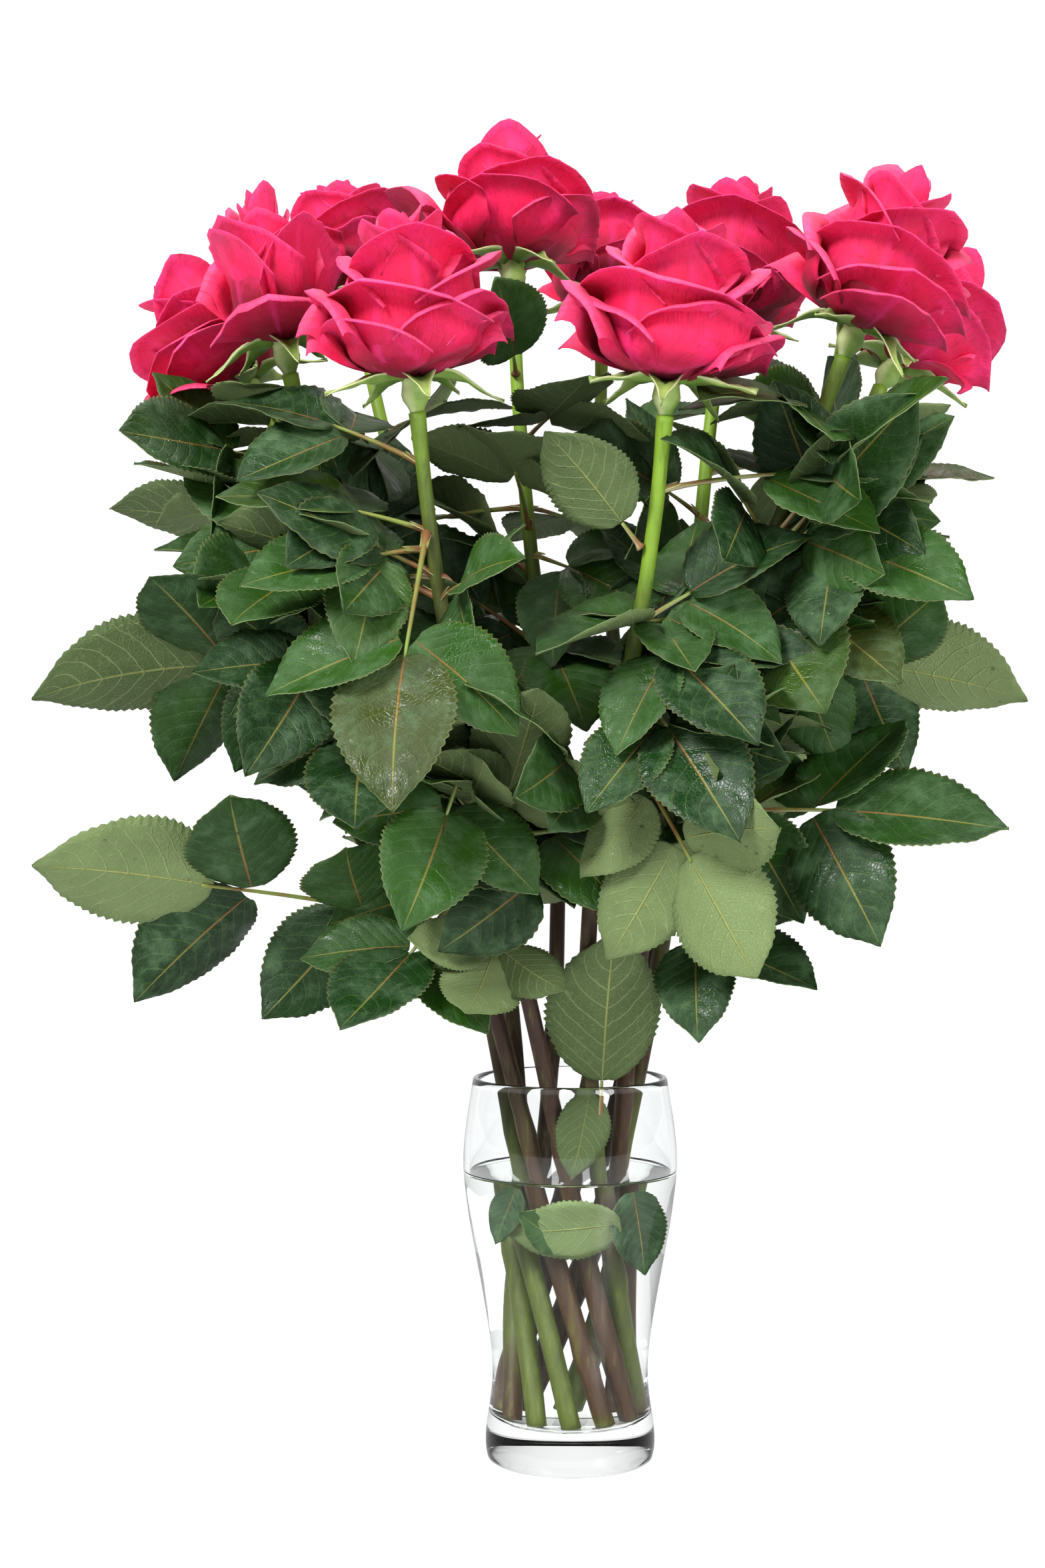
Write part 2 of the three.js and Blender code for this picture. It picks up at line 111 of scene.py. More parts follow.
# Extra long leaves that fill the front and the top of the bunch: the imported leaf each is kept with, its
# rose, the height of its stalk's foot, its tip, its leaflets and the way that it faces.
REACHING = [
    ("right_bright", "inner_right", 0.398, (0.092, -0.098, 0.308), 3, (0.0, -0.95, 0.35)),
    ("right_high", "right", 0.385, (0.150, -0.085, 0.352), 3, (0.1, -0.8, 0.6)),
    ("centre_olive", "top", 0.392, (-0.034, -0.062, 0.428), 3, (0.0, -0.8, 0.6)),
    ("left_olive", "far_left", 0.392, (-0.150, -0.058, 0.346), 3, (0.0, -0.9, 0.4)),
    ("left_high", "left_bud", 0.372, (-0.132, -0.098, 0.342), 3, (0.0, -0.8, 0.6)),
    ("front_dark", "front_left", 0.36, (-0.020, -0.108, 0.368), 3, (0.0, -0.85, 0.5)),
    ("front_side", "front_right", 0.35, (0.068, -0.112, 0.296), 3, (0.1, -0.9, 0.5)),
    ("left_glossy", "left_bud", 0.33, (-0.086, -0.098, 0.262), 3, (0.0, -0.9, 0.4)),
    ("right_mid", "right", 0.37, (0.128, -0.080, 0.318), 3, (0.2, -0.8, 0.5)),
    ("centre_bract", "inner_right", 0.4, (0.000, -0.030, 0.424), 3, (0.0, -0.85, 0.5)),
    ("back_mid", "top", 0.38, (0.036, -0.010, 0.356), 3, (0.1, -0.95, 0.3)),
    ("back_low", "top", 0.35, (0.008, -0.020, 0.304), 3, (0.0, -0.95, 0.3)),
    ("back_right", "inner_right", 0.36, (0.012, 0.010, 0.392), 3, (0.0, -0.9, 0.4)),
    ("back_high", "back_left", 0.445, (-0.048, -0.005, 0.436), 3, (0.0, -0.9, 0.4)),
    ("left_olive", "back_left", 0.43, (-0.112, 0.010, 0.438), 3, (0.0, -0.9, 0.4)),
    ("back_mid", "back_right", 0.445, (0.036, 0.020, 0.434), 3, (0.0, -0.9, 0.4)),
    ("back_right", "far_right", 0.435, (0.070, -0.008, 0.440), 3, (0.0, -0.9, 0.4)),
    ("right_mid", "far_right", 0.42, (0.104, -0.020, 0.458), 3, (0.0, -0.9, 0.4)),
    ("left_high", "far_left", 0.42, (-0.184, -0.040, 0.424), 3, (0.0, -0.9, 0.4)),
]


# ---------------------------------------------------------------- small sums

def clamp(x, low=0.0, high=1.0):
    return min(high, max(low, x))


def smooth(x):
    x = clamp(x)
    return x * x * (3 - 2 * x)


def wobble(x, y, z):
    return noise.noise(Vector((x, y, z)))


def points_of(name):
    """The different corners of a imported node, as rows."""
    co = np.array([v.co[:] for v in nodes[name].data.vertices])
    return np.unique(np.round(co, 6), axis=0)


# ---------------------------------------------------------------- mesh helpers

def new_object(name, bm, materials, rides="root", replaces=()):
    mesh = bpy.data.meshes.new(name)
    bm.to_mesh(mesh)
    bm.free()
    obj = bpy.data.objects.new(name, mesh)
    bpy.context.scene.collection.objects.link(obj)
    for m in materials:
        mesh.materials.append(m)
    for p in mesh.polygons:
        p.use_smooth = True
    if rides:
        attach(obj, rides)
    if replaces:
        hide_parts(*replaces)
    return obj


def sheet(bm, across, along, place, front=0, back=0, thick=0.0, tint=0.5):
    """A grid put in place by place(u, v), with its own map: u from -1 to 1 across, v from 0 to 1 along.

    Its front material is on the side that the grid's normals look to, and a thick sheet has its back
    material on the other side.
    """
    uv = bm.loops.layers.uv.verify()
    mark = bm.loops.layers.float_color.get("tint") or bm.loops.layers.float_color.new("tint")
    made = bmesh.ops.create_grid(bm, x_segments=across, y_segments=along, size=1)["verts"]
    spots = {v: (v.co.x, (v.co.y + 1) / 2) for v in made}
    faces = list({f for v in made for f in v.link_faces})
    for f in faces:
        f.material_index = front
        for loop in f.loops:
            u, v = spots[loop.vert]
            loop[uv].uv = ((u + 1) / 2, v)
            loop[mark] = (tint, tint, tint, 1)
    for v, (a, b) in spots.items():
        v.co = place(a, b)
    if thick:
        for part in faces + made:
            part.normal_update()
        before = set(faces)
        geom = bmesh.ops.solidify(bm, geom=faces, thickness=thick)["geom"]
        new = [g for g in geom if isinstance(g, bmesh.types.BMFace) and g not in before]
        for f in new:
            f.material_index = back
    return made


def tube(bm, centres, radii, sides, tint=0.5, front=0):
    """A round bar along a line of points, closed at both ends."""
    count = len(centres)
    frames = []
    side = None
    for i in range(count):
        ahead = (centres[min(i + 1, count - 1)] - centres[max(i - 1, 0)]).normalized()
        side = ahead.orthogonal() if side is None else side - ahead * side.dot(ahead)
        side.normalize()
        frames.append((side.copy(), ahead.cross(side)))

    def place(u, v):
        i = min(count - 1, int(round(v * (count - 1))))
        a, b = frames[i]
        angle = math.pi * u
        return centres[i] + (a * math.cos(angle) + b * math.sin(angle)) * radii[i]

    made = sheet(bm, sides, count - 1, place, front=front, tint=tint)
    made = [v for v in made if v.is_valid]
    bmesh.ops.remove_doubles(bm, verts=made, dist=1e-7)
    made = [v for v in made if v.is_valid]
    rim = [e for e in {e for v in made for e in v.link_edges} if e.is_boundary]
    bmesh.ops.holes_fill(bm, edges=rim, sides=0)


def spin_profile(bm, profile, sides):
    """A turned shape from (radius, height) pairs that start and end on the axis."""
    line = [bm.verts.new((r, 0, z)) for r, z in profile]
    edges = [bm.edges.new(pair) for pair in zip(line, line[1:])]
    bmesh.ops.spin(bm, geom=line + edges, cent=(0, 0, 0), axis=UP, angle=TAU, steps=sides,
                   use_merge=True)
    bmesh.ops.remove_doubles(bm, verts=bm.verts, dist=1e-6)
    bmesh.ops.recalc_face_normals(bm, faces=bm.faces)


# ---------------------------------------------------------------- shader helpers

class Maker:
    """A material's node tree, and sums on its sockets."""

    def __init__(self, name):
        self.material = bpy.data.materials.new(name)
        self.material.use_nodes = True
        self.tree = self.material.node_tree
        self.tree.nodes.clear()

    def node(self, kind, inputs=None, **settings):
        made = self.tree.nodes.new(kind)
        for key, value in settings.items():
            setattr(made, key, value)
        for key, value in (inputs or {}).items():
            self.put(made.inputs[key], value)
        return made

    def put(self, socket, value):
        if isinstance(value, Value):
            self.tree.links.new(value.socket, socket)
        elif isinstance(value, bpy.types.NodeSocket):
            self.tree.links.new(value, socket)
        else:
            socket.default_value = value

    def value(self, socket):
        return Value(self, socket)

    def math(self, operation, a, b=0.0):
        made = self.node("ShaderNodeMath", {0: a, 1: b}, operation=operation)
        return self.value(made.outputs[0])

    def blend(self, share, a, b):
        made = self.node("ShaderNodeMix", {0: share, 6: a, 7: b}, data_type="RGBA")
        return self.value(made.outputs[2])

    def ramp(self, x, low, high):
        made = self.node("ShaderNodeMapRange", {0: x, 1: low, 2: high}, interpolation_type="SMOOTHSTEP")
        return self.value(made.outputs[0])

    def coords(self, output):
        return self.value(self.node("ShaderNodeTexCoord").outputs[output])

    def mapped(self, vector, scale):
        made = self.node("ShaderNodeMapping", {"Vector": vector, "Scale": scale})
        return self.value(made.outputs[0])

    def noise(self, vector, scale, detail=3.0, rough=0.55):
        made = self.node("ShaderNodeTexNoise", {"Vector": vector, "Scale": scale, "Detail": detail,
                                                "Roughness": rough})
        return self.value(made.outputs[0])

    def cells(self, vector, scale):
        made = self.node("ShaderNodeTexVoronoi", {"Vector": vector, "Scale": scale},
                         feature="DISTANCE_TO_EDGE")
        return self.value(made.outputs[0])

    def split(self, vector):
        made = self.node("ShaderNodeSeparateXYZ", {0: vector})
        return [self.value(s) for s in made.outputs]

    def attribute(self, name):
        return self.value(self.node("ShaderNodeAttribute", attribute_name=name).outputs["Fac"])

    def bump(self, height, strength, distance):
        made = self.node("ShaderNodeBump", {"Height": height, "Strength": strength,
                                            "Distance": distance})
        return self.value(made.outputs[0])

    def surface(self, **inputs):
        made = self.node("ShaderNodeBsdfPrincipled")
        for key, value in inputs.items():
            self.put(made.inputs[key.replace("_", " ")], value)
        return self.value(made.outputs[0])

    def mix_shader(self, share, a, b):
        made = self.node("ShaderNodeMixShader", {0: share, 1: a, 2: b})
        return self.value(made.outputs[0])

    def finish(self, shader):
        out = self.node("ShaderNodeOutputMaterial")
        self.put(out.inputs["Surface"], shader)
        return self.material


class Value:
    """A socket that can be added, multiplied and so on."""

    def __init__(self, maker, socket):
        self.maker = maker
        self.socket = socket

    def __add__(self, other):
        return self.maker.math("ADD", self, other)

    def __radd__(self, other):
        return self.maker.math("ADD", other, self)

    def __sub__(self, other):
        return self.maker.math("SUBTRACT", self, other)

    def __rsub__(self, other):
        return self.maker.math("SUBTRACT", other, self)

    def __mul__(self, other):
        return self.maker.math("MULTIPLY", self, other)

    def __rmul__(self, other):
        return self.maker.math("MULTIPLY", other, self)


def rgb(r, g, b):
    """A colour from its everyday 0 to 255 numbers."""
    parts = [c / 255 for c in (r, g, b)]
    light = [c / 12.92 if c <= 0.04045 else ((c + 0.055) / 1.055) ** 2.4 for c in parts]
    return tuple(light) + (1.0,)


WHITE = (1.0, 1.0, 1.0, 1.0)


# ---------------------------------------------------------------- materials

def petal_material(name, deep_and_shade, main, rim, veil):
    """Velvet petal skin, darker at the foot with painted shade where the petals lie deep in and under the
    head, and brighter at the rim, with fine fanning veins and blotches.
    """
    m = Maker(name)
    place = m.coords("UV")
    u, v, _ = m.split(place)
    tint = m.attribute("tint")
    body = m.coords("Object")
    blotch = m.noise(body, 70.0, 4.0, 0.6)
    veins = m.noise(m.mapped(place, (46.0, 2.6, 1.0)), 2.2, 3.0, 0.6)
    fine = m.noise(m.mapped(place, (130.0, 9.0, 1.0)), 2.0, 2.0, 0.6)
    # Painted shade: the colour grows darker towards the petal's foot, where it lies deep in and under the
    # head, varied by blotches and by each petal's own tint.
    out_of_foot_shade = m.ramp(v + (blotch - 0.5) * 0.35 + (tint - 0.5) * 0.75, 0.08, 0.8)
    colour = m.blend(out_of_foot_shade, deep_and_shade, main)
    edge = m.ramp(v + (blotch - 0.5) * 0.3 + (veins - 0.5) * 0.2, 0.72, 1.02)
    colour = m.blend(edge * 0.6, colour, rim)
    colour = m.blend(m.ramp(veins, 0.45, 0.75) * 0.5, colour, deep_and_shade)
    middle = m.math("ABSOLUTE", u - 0.5)
    colour = m.blend((1.0 - m.ramp(middle, 0.0, 0.05)) * 0.3, colour, veil)
    colour = m.blend(m.ramp(blotch, 0.5, 0.78) * 0.45, colour, veil)
    velvet = m.noise(body, 620.0, 3.0, 0.7)
    colour = m.blend(m.ramp(velvet, 0.5, 0.75) * 0.3, colour, deep_and_shade)
    colour = m.blend(m.ramp(m.noise(body, 34.0, 3.0, 0.6), 0.52, 0.72) * 0.35, colour, deep_and_shade)
    bruise = m.ramp(m.noise(body, 190.0, 3.0, 0.7) + (v - 0.9) * 0.9, 0.66, 0.78) * m.ramp(v, 0.9, 0.985)
    colour = m.blend(bruise * 0.55, colour, rgb(122, 52, 60))
    relief = m.bump(veins * 0.6 + fine * 0.4 + blotch * 0.5 + velvet * 0.3, 0.5, 0.0008)
    rough = 0.5 + blotch * 0.25
    skin = m.surface(Base_Color=colour, Roughness=rough, Normal=relief, Sheen_Weight=0.12,
                     Sheen_Roughness=0.4, Sheen_Tint=(1.0, 0.45, 0.6, 1.0), Specular_IOR_Level=0.32)
    glow = m.node("ShaderNodeBsdfTranslucent", {"Color": main})
    return m.finish(m.mix_shader(0.15, skin, m.value(glow.outputs[0])))


def leaf_lines(m, place):
    """A leaflet's midrib, side veins and net at a spot, its place between veins and from the midrib."""
    u, v, _ = m.split(place)
    off = m.math("ABSOLUTE", u - 0.5) * 2.0
    shake = (m.noise(place, 5.0, 2.0) - 0.5) * 0.05
    rib = 1.0 - m.ramp(off, 0.008, 0.034)
    slant = (v - off * 0.2 - off * off * 0.12 + shake) * VEINS
    wave = m.math("PINGPONG", slant, 0.5)
    side = (1.0 - m.ramp(wave, 0.015, 0.075)) * (1.0 - m.ramp(off, 0.82, 0.98))
    net = m.cells(m.mapped(place, (15.0, 24.0, 1.0)), 1.6)
    return rib, side, net, wave, off


def leaf_top_material():
    """Dark green upper face under a dull pale film, with wet patches and a thin orange midrib."""
    m = Maker("leaf_upper")
    place = m.coords("UV")
    body = m.coords("Object")
    _, v, _ = m.split(place)
    tint = m.attribute("tint")
    rib, side, net, wave, off = leaf_lines(m, place)
    blotch = m.noise(body, 42.0, 4.0, 0.6)
    film = m.noise(body, 95.0, 5.0, 0.68)
    wet = m.ramp(m.noise(body, 55.0, 3.0, 0.5), 0.52, 0.62)
    colour = m.blend(m.ramp(tint + (blotch - 0.5) * 0.5, 0.15, 0.9), rgb(14, 50, 14), rgb(40, 82, 14))
    colour = m.blend(m.ramp(tint, 0.86, 0.95) * 0.7, colour, rgb(62, 60, 20))
    dull = m.ramp(film, 0.42, 0.72) * (1.0 - wet * 0.7)
    colour = m.blend(dull * 0.55, colour, rgb(84, 118, 78))
    colour = m.blend(m.ramp(blotch, 0.55, 0.75) * 0.45, colour, rgb(6, 44, 10))
    colour = m.blend((1.0 - m.ramp(net, 0.0, 0.09)) * 0.12, colour, rgb(98, 132, 66))
    colour = m.blend(side * 0.2, colour, rgb(98, 126, 62))
    rib_colour = m.blend(m.ramp(v, 0.0, 0.7), rgb(150, 84, 40), rgb(136, 132, 56))
    colour = m.blend(rib * 0.75, colour, rib_colour)
    colour = m.blend(m.ramp(off, 0.94, 1.0) * 0.4, colour, rgb(118, 112, 62))
    height = m.ramp(wave, 0.0, 0.42) * 0.3 + m.ramp(net, 0.0, 0.16) * 0.2
    height = height - rib * 0.5 - side * 0.3 + film * 0.3 + blotch * 0.8
    relief = m.bump(height, 0.4, 0.001)
    rough = 0.5 + film * 0.2 - wet * 0.28
    skin = m.surface(Base_Color=colour, Roughness=rough, Normal=relief, Specular_IOR_Level=0.45)
    glow = m.node("ShaderNodeBsdfTranslucent", {"Color": rgb(66, 100, 26)})
    return m.finish(m.mix_shader(0.12, skin, m.value(glow.outputs[0])))


def leaf_under_material():
    """Pale, dull under face with raised veins."""
    m = Maker("leaf_underside")
    place = m.coords("UV")
    tint = m.attribute("tint")
    rib, side, net, _, _ = leaf_lines(m, place)
    blotch = m.noise(m.coords("Object"), 55.0, 4.0, 0.6)
    shade = m.ramp(tint + (blotch - 0.5) * 0.6, 0.1, 0.9)
    colour = m.blend(shade, rgb(84, 104, 60), rgb(122, 142, 90))
    colour = m.blend((1.0 - m.ramp(net, 0.0, 0.1)) * 0.3, colour, rgb(150, 166, 112))
    colour = m.blend(side * 0.6, colour, rgb(160, 174, 118))
    colour = m.blend(rib * 0.9, colour, rgb(160, 168, 96))
    height = rib * 1.4 + side * 0.7 + (1.0 - m.ramp(net, 0.0, 0.12)) * 0.25
    relief = m.bump(height, 0.7, 0.0011)
    rough = 0.58 + blotch * 0.2
    skin = m.surface(Base_Color=colour, Roughness=rough, Normal=relief, Specular_IOR_Level=0.3)
    glow = m.node("ShaderNodeBsdfTranslucent", {"Color": rgb(118, 146, 70)})
    return m.finish(m.mix_shader(0.2, skin, m.value(glow.outputs[0])))


def stem_material():
    """Bark with fine streaks: fresh green near the head, brown lower down, olive in the water."""
    m = Maker("stem_bark")
    body = m.coords("Object")
    _, _, z = m.split(body)
    tint = m.attribute("tint")
    streak = m.noise(m.mapped(body, (420.0, 420.0, 26.0)), 1.0, 4.0, 0.6)
    blotch = m.noise(body, 26.0, 3.0, 0.6)
    height = z + (blotch - 0.5) * 0.16 + (tint - 0.5) * 0.2
    colour = m.blend(m.ramp(height, 0.22, 0.36), rgb(66, 40, 28), rgb(72, 88, 24))
    colour = m.blend(m.ramp(height, 0.33, 0.45), colour, rgb(122, 160, 36))
    patch = m.ramp(tint + (m.noise(body, 14.0, 2.0) - 0.5) * 1.6, 0.35, 0.6)
    sunk = m.blend(patch, rgb(64, 38, 12), rgb(76, 88, 18))
    colour = m.blend(m.ramp(z + (blotch - 0.5) * 0.05, 0.17, 0.13), colour, sunk)
    colour = m.blend(m.ramp(streak, 0.48, 0.8) * 0.5, colour, rgb(34, 26, 12))
    colour = m.blend(m.ramp(streak, 0.5, 0.2) * 0.32, colour, rgb(134, 148, 52))
    relief = m.bump(streak * 0.7 + m.noise(body, 900.0, 2.0) * 0.3, 0.5, 0.0006)
    rough = 0.42 + streak * 0.25
    return m.finish(m.surface(Base_Color=colour, Roughness=rough, Normal=relief))


def green_material(name, low, high, rough):
    """Plant skin from one colour to another along the piece, with pale downy edges."""
    m = Maker(name)
    body = m.coords("Object")
    u, v, _ = m.split(m.coords("UV"))
    grain = m.noise(body, 240.0, 3.0, 0.6)
    soft = m.noise(body, 60.0, 3.0)
    off = m.math("ABSOLUTE", u - 0.5) * 2.0
    colour = m.blend(m.ramp(soft + (v - 0.5) * 0.3, 0.35, 0.7), low, high)
    colour = m.blend(m.ramp(off, 0.7, 1.0) * 0.5, colour, rgb(214, 214, 168))
    colour = m.blend(m.ramp(grain, 0.55, 0.75) * 0.3, colour, low)
    relief = m.bump(grain, 0.4, 0.0005)
    return m.finish(m.surface(Base_Color=colour, Roughness=rough + grain * 0.2, Normal=relief))


def clear_material(name, ior, colour, rough, wave):
    """Clear glass or water: it lets lamp light through so that what stands inside is lit."""
    m = Maker(name)
    body = m.coords("Object")
    ripple = m.noise(body, wave, 2.0, 0.4)
    streak = m.noise(m.mapped(body, (1.0, 1.0, 0.3)), 30.0, 2.0)
    tone = m.blend(m.ramp(streak, 0.3, 0.8), colour, WHITE)
    skin = m.surface(Base_Color=tone, Roughness=m.ramp(ripple, 0.3, 0.9) * rough, IOR=ior,
                     Transmission_Weight=1.0, Normal=m.bump(ripple, 0.12, 0.001))
    clear = m.node("ShaderNodeBsdfTransparent", {"Color": colour})
    path = m.node("ShaderNodeLightPath")
    return m.finish(m.mix_shader(path.outputs["Is Shadow Ray"], skin, m.value(clear.outputs[0])))


def edge_material():
    """The water's side, where it wets the glass: the glass already bends the light there."""
    m = Maker("water_against_glass")
    clear = m.node("ShaderNodeBsdfTransparent", {"Color": (0.992, 1.0, 0.995, 1.0)})
    return m.finish(m.value(clear.outputs[0]))


GLASS_INDEX = 1.5
WATER_INDEX = 1.33

# The deep colours are the petals' own deeper red in veins and mottling, and also painted shade towards each
# petal's foot.
petal_outer = petal_material("petal_outside", deep_and_shade=rgb(128, 2, 34), main=rgb(236, 26, 88),
                             rim=rgb(248, 70, 138), veil=rgb(248, 56, 148))
petal_inner = petal_material("petal_inside", deep_and_shade=rgb(150, 2, 34), main=rgb(244, 32, 88),
                             rim=rgb(252, 94, 150), veil=rgb(252, 84, 164))
leaf_top = leaf_top_material()
leaf_under = leaf_under_material()
bark = stem_material()
sepal_green = green_material("sepal_green", rgb(100, 134, 52), rgb(150, 174, 92), 0.5)
stalk_green = green_material("leaf_stalk", rgb(126, 84, 44), rgb(116, 138, 56), 0.45)
thorn_red = green_material("thorn", rgb(126, 62, 44), rgb(150, 110, 62), 0.4)
glass = clear_material("clear_glass", GLASS_INDEX, (0.965, 0.98, 0.98, 1.0), 0.02, 22.0)
wet_glass = clear_material("wetted_glass", GLASS_INDEX / WATER_INDEX, (0.965, 0.98, 0.965, 1.0), 0.02,
                           22.0)
water_clear = clear_material("water", WATER_INDEX, (0.955, 0.98, 0.965, 1.0), 0.01, 12.0)
water_edge = edge_material()
droplet = clear_material("droplet", WATER_INDEX, WHITE, 0.01, 300.0)


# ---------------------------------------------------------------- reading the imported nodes

END_GAP = 2.5 * MM


def stem_line(name, steps=48):
    """The middle line of a packed stem, from its cut end to its head."""
    mesh = nodes[name].data
    co = np.array([v.co[:] for v in mesh.vertices])
    ends = np.array([e.vertices[:] for e in mesh.edges])
    a, b = co[ends[:, 0]], co[ends[:, 1]]
    low, high = co[:, 2].min(), co[:, 2].max()
    line = []
    for z in np.linspace(low + END_GAP, high - END_GAP, steps):
        cross = (a[:, 2] - z) * (b[:, 2] - z) < 0
        share = (z - a[cross, 2]) / (b[cross, 2] - a[cross, 2])
        cut = a[cross] + (b[cross] - a[cross]) * share[:, None]
        middle = (cut.min(0) + cut.max(0)) / 2
        line.append(Vector((middle[0], middle[1], z)))
    first = line[0] - (line[1] - line[0]).normalized() * END_GAP
    last = line[-1] + (line[-1] - line[-2]).normalized() * END_GAP
    return [first] + line + [last]


def head_of(rose):
    """A head's base, axis, width and height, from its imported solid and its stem's end."""
    pts = points_of("bloom_" + rose)
    top = lines[rose][-1]
    middle = Vector(pts.mean(0))
    axis = (middle - top).normalized()
    rel = pts - np.array(top)
    along = rel @ np.array(axis)
    out = np.linalg.norm(rel - along[:, None] * np.array(axis), axis=1)
    base = top + axis * along.min()
    return base, axis, 2 * out.max(), along.max() - along.min()


def leaf_frame(node):
    """A packed leaf's foot, the directions along, across and up from it, and its length."""
    name = node.split("_", 2)[2]
    pts = points_of(node)
    line = np.array([p[:] for p in lines[LEAF_STEMS[name]]])
    dense = np.concatenate([line[:-1] + (line[1:] - line[:-1]) * t for t in (0.0, 0.25, 0.5, 0.75)])
    gap = np.linalg.norm(pts[:, None] - dense[None], axis=2).min(1)
    middle = pts.mean(0)
    near = gap < gap.min() + 2.2 * MM
    foot_at = pts[near][np.argmax(np.linalg.norm(pts[near] - middle, axis=1))]
    foot = pts[np.linalg.norm(pts - foot_at, axis=1) < 2.6 * MM].mean(0)
    tip = pts[np.argmax(np.linalg.norm(pts - foot, axis=1))]
    along = (tip - foot) / np.linalg.norm(tip - foot)
    rel = pts - foot
    flat = rel - (rel @ along)[:, None] * along
    _, _, axes = np.linalg.svd(flat - flat.mean(0), full_matrices=False)
    up = np.cross(along, axes[0])
    if (flat @ up).mean() < 0:
        up = -up
    length = float(np.linalg.norm(tip - foot))
    return Vector(foot), Vector(along), Vector(np.cross(up, along)), Vector(up), length


ROSES = sorted(n[5:] for n in nodes if n.startswith("stem_"))
lines = {rose: stem_line("stem_" + rose) for rose in ROSES}


# ---------------------------------------------------------------- stems

STEM_FOOT_RADIUS = 3.9 * MM
STEM_TAPER = 1.1 * MM
STEM_FLARE = 0.75 * MM
JOINT_SWELL = 0.7 * MM


def stem_object(rose, seed):
    """One stem with its swollen joints, its flare under the head and its thorns."""
    rng = random.Random(seed)
    line = lines[rose]
    count = len(line)
    tint = rng.uniform(0.05, 0.95)
    joints = sorted([rng.uniform(0.06, 0.2)] + [rng.uniform(0.25, 0.8) for _ in range(3)])
    radii = []
    for i in range(count):
        t = i / (count - 1)
        r = STEM_FOOT_RADIUS - STEM_TAPER * t
        r += STEM_FLARE * smooth((t - 0.93) / 0.07)
        for j in joints:
            r += JOINT_SWELL * math.exp(-(((t - j) / 0.008) ** 2))
        radii.append(r * (1 + 0.03 * wobble(t * 9, seed, 0)))
    bm = bmesh.new()
    tube(bm, line, radii, sides=12, tint=tint)
    for _ in range(rng.randint(4, 7)):
        thorn(bm, line, radii, rng)
    bmesh.ops.recalc_face_normals(bm, faces=bm.faces)
    return new_object("stem_look_" + rose, bm, [bark, thorn_red], replaces=["stem_" + rose])


def thorn(bm, line, radii, rng):
    """A small hooked thorn pointing a little down."""
    i = rng.randint(int(len(line) * 0.42), int(len(line) * 0.86))
    ahead = (line[i + 1] - line[i]).normalized()
    side = ahead.orthogonal().normalized()
    side.rotate(Matrix.Rotation(rng.uniform(0, TAU), 3, ahead))
    size = rng.uniform(3.0, 5.0) * MM
    root = line[i] + side * radii[i] * 0.8
    course = [root + side * size * t - ahead * size * (0.55 * t * t) for t in (0, 0.35, 0.7, 1.0)]
    tube(bm, course, [1.5 * MM, 0.95 * MM, 0.42 * MM, 0.08 * MM], sides=6, front=1)


# ---------------------------------------------------------------- flower heads

# Each whorl: petals, distance out and height as shares of the head, roll of the rim and half width
# in degrees, the slope that a petal leaves the middle at and the slope of its side.
WHORLS = [
    (3, 0.04, 0.955, 20, 150, 72, 93),
    (3, 0.085, 1.0, 40, 118, 66, 95),
    (3, 0.145, 0.985, 75, 102, 60, 95),
    (3, 0.22, 0.84, 125, 90, 48, 93),
    (3, 0.32, 0.66, 150, 80, 36, 94),
    (4, 0.385, 0.44, 140, 58, 16, 74),
]

# Petals that hang out wide of their head: their bearing in degrees from the right, anticlockwise from
# above, and distance out, height, roll, half width and slopes as in the whorls.
WIDE_PETALS = {
    "far_left": [(205, (0.50, 0.20, 80, 46, -2, 26)), (250, (0.42, 0.36, 110, 44, 8, 56))],
    "front_left": [(345, (0.35, 0.34, 120, 44, 8, 52)), (195, (0.34, 0.56, 125, 42, 30, 78))],
    "front_right": [(340, (0.40, 0.30, 110, 46, 4, 44)), (190, (0.37, 0.54, 125, 44, 26, 76))],
    "right": [(285, (0.38, 0.20, 110, 44, 2, 36)), (20, (0.36, 0.42, 115, 42, 14, 64))],
    "left_bud": [(270, (0.52, 0.24, 110, 46, 6, 40))],
    "top": [(180, (0.50, 0.56, 120, 50, 14, 70))],
}


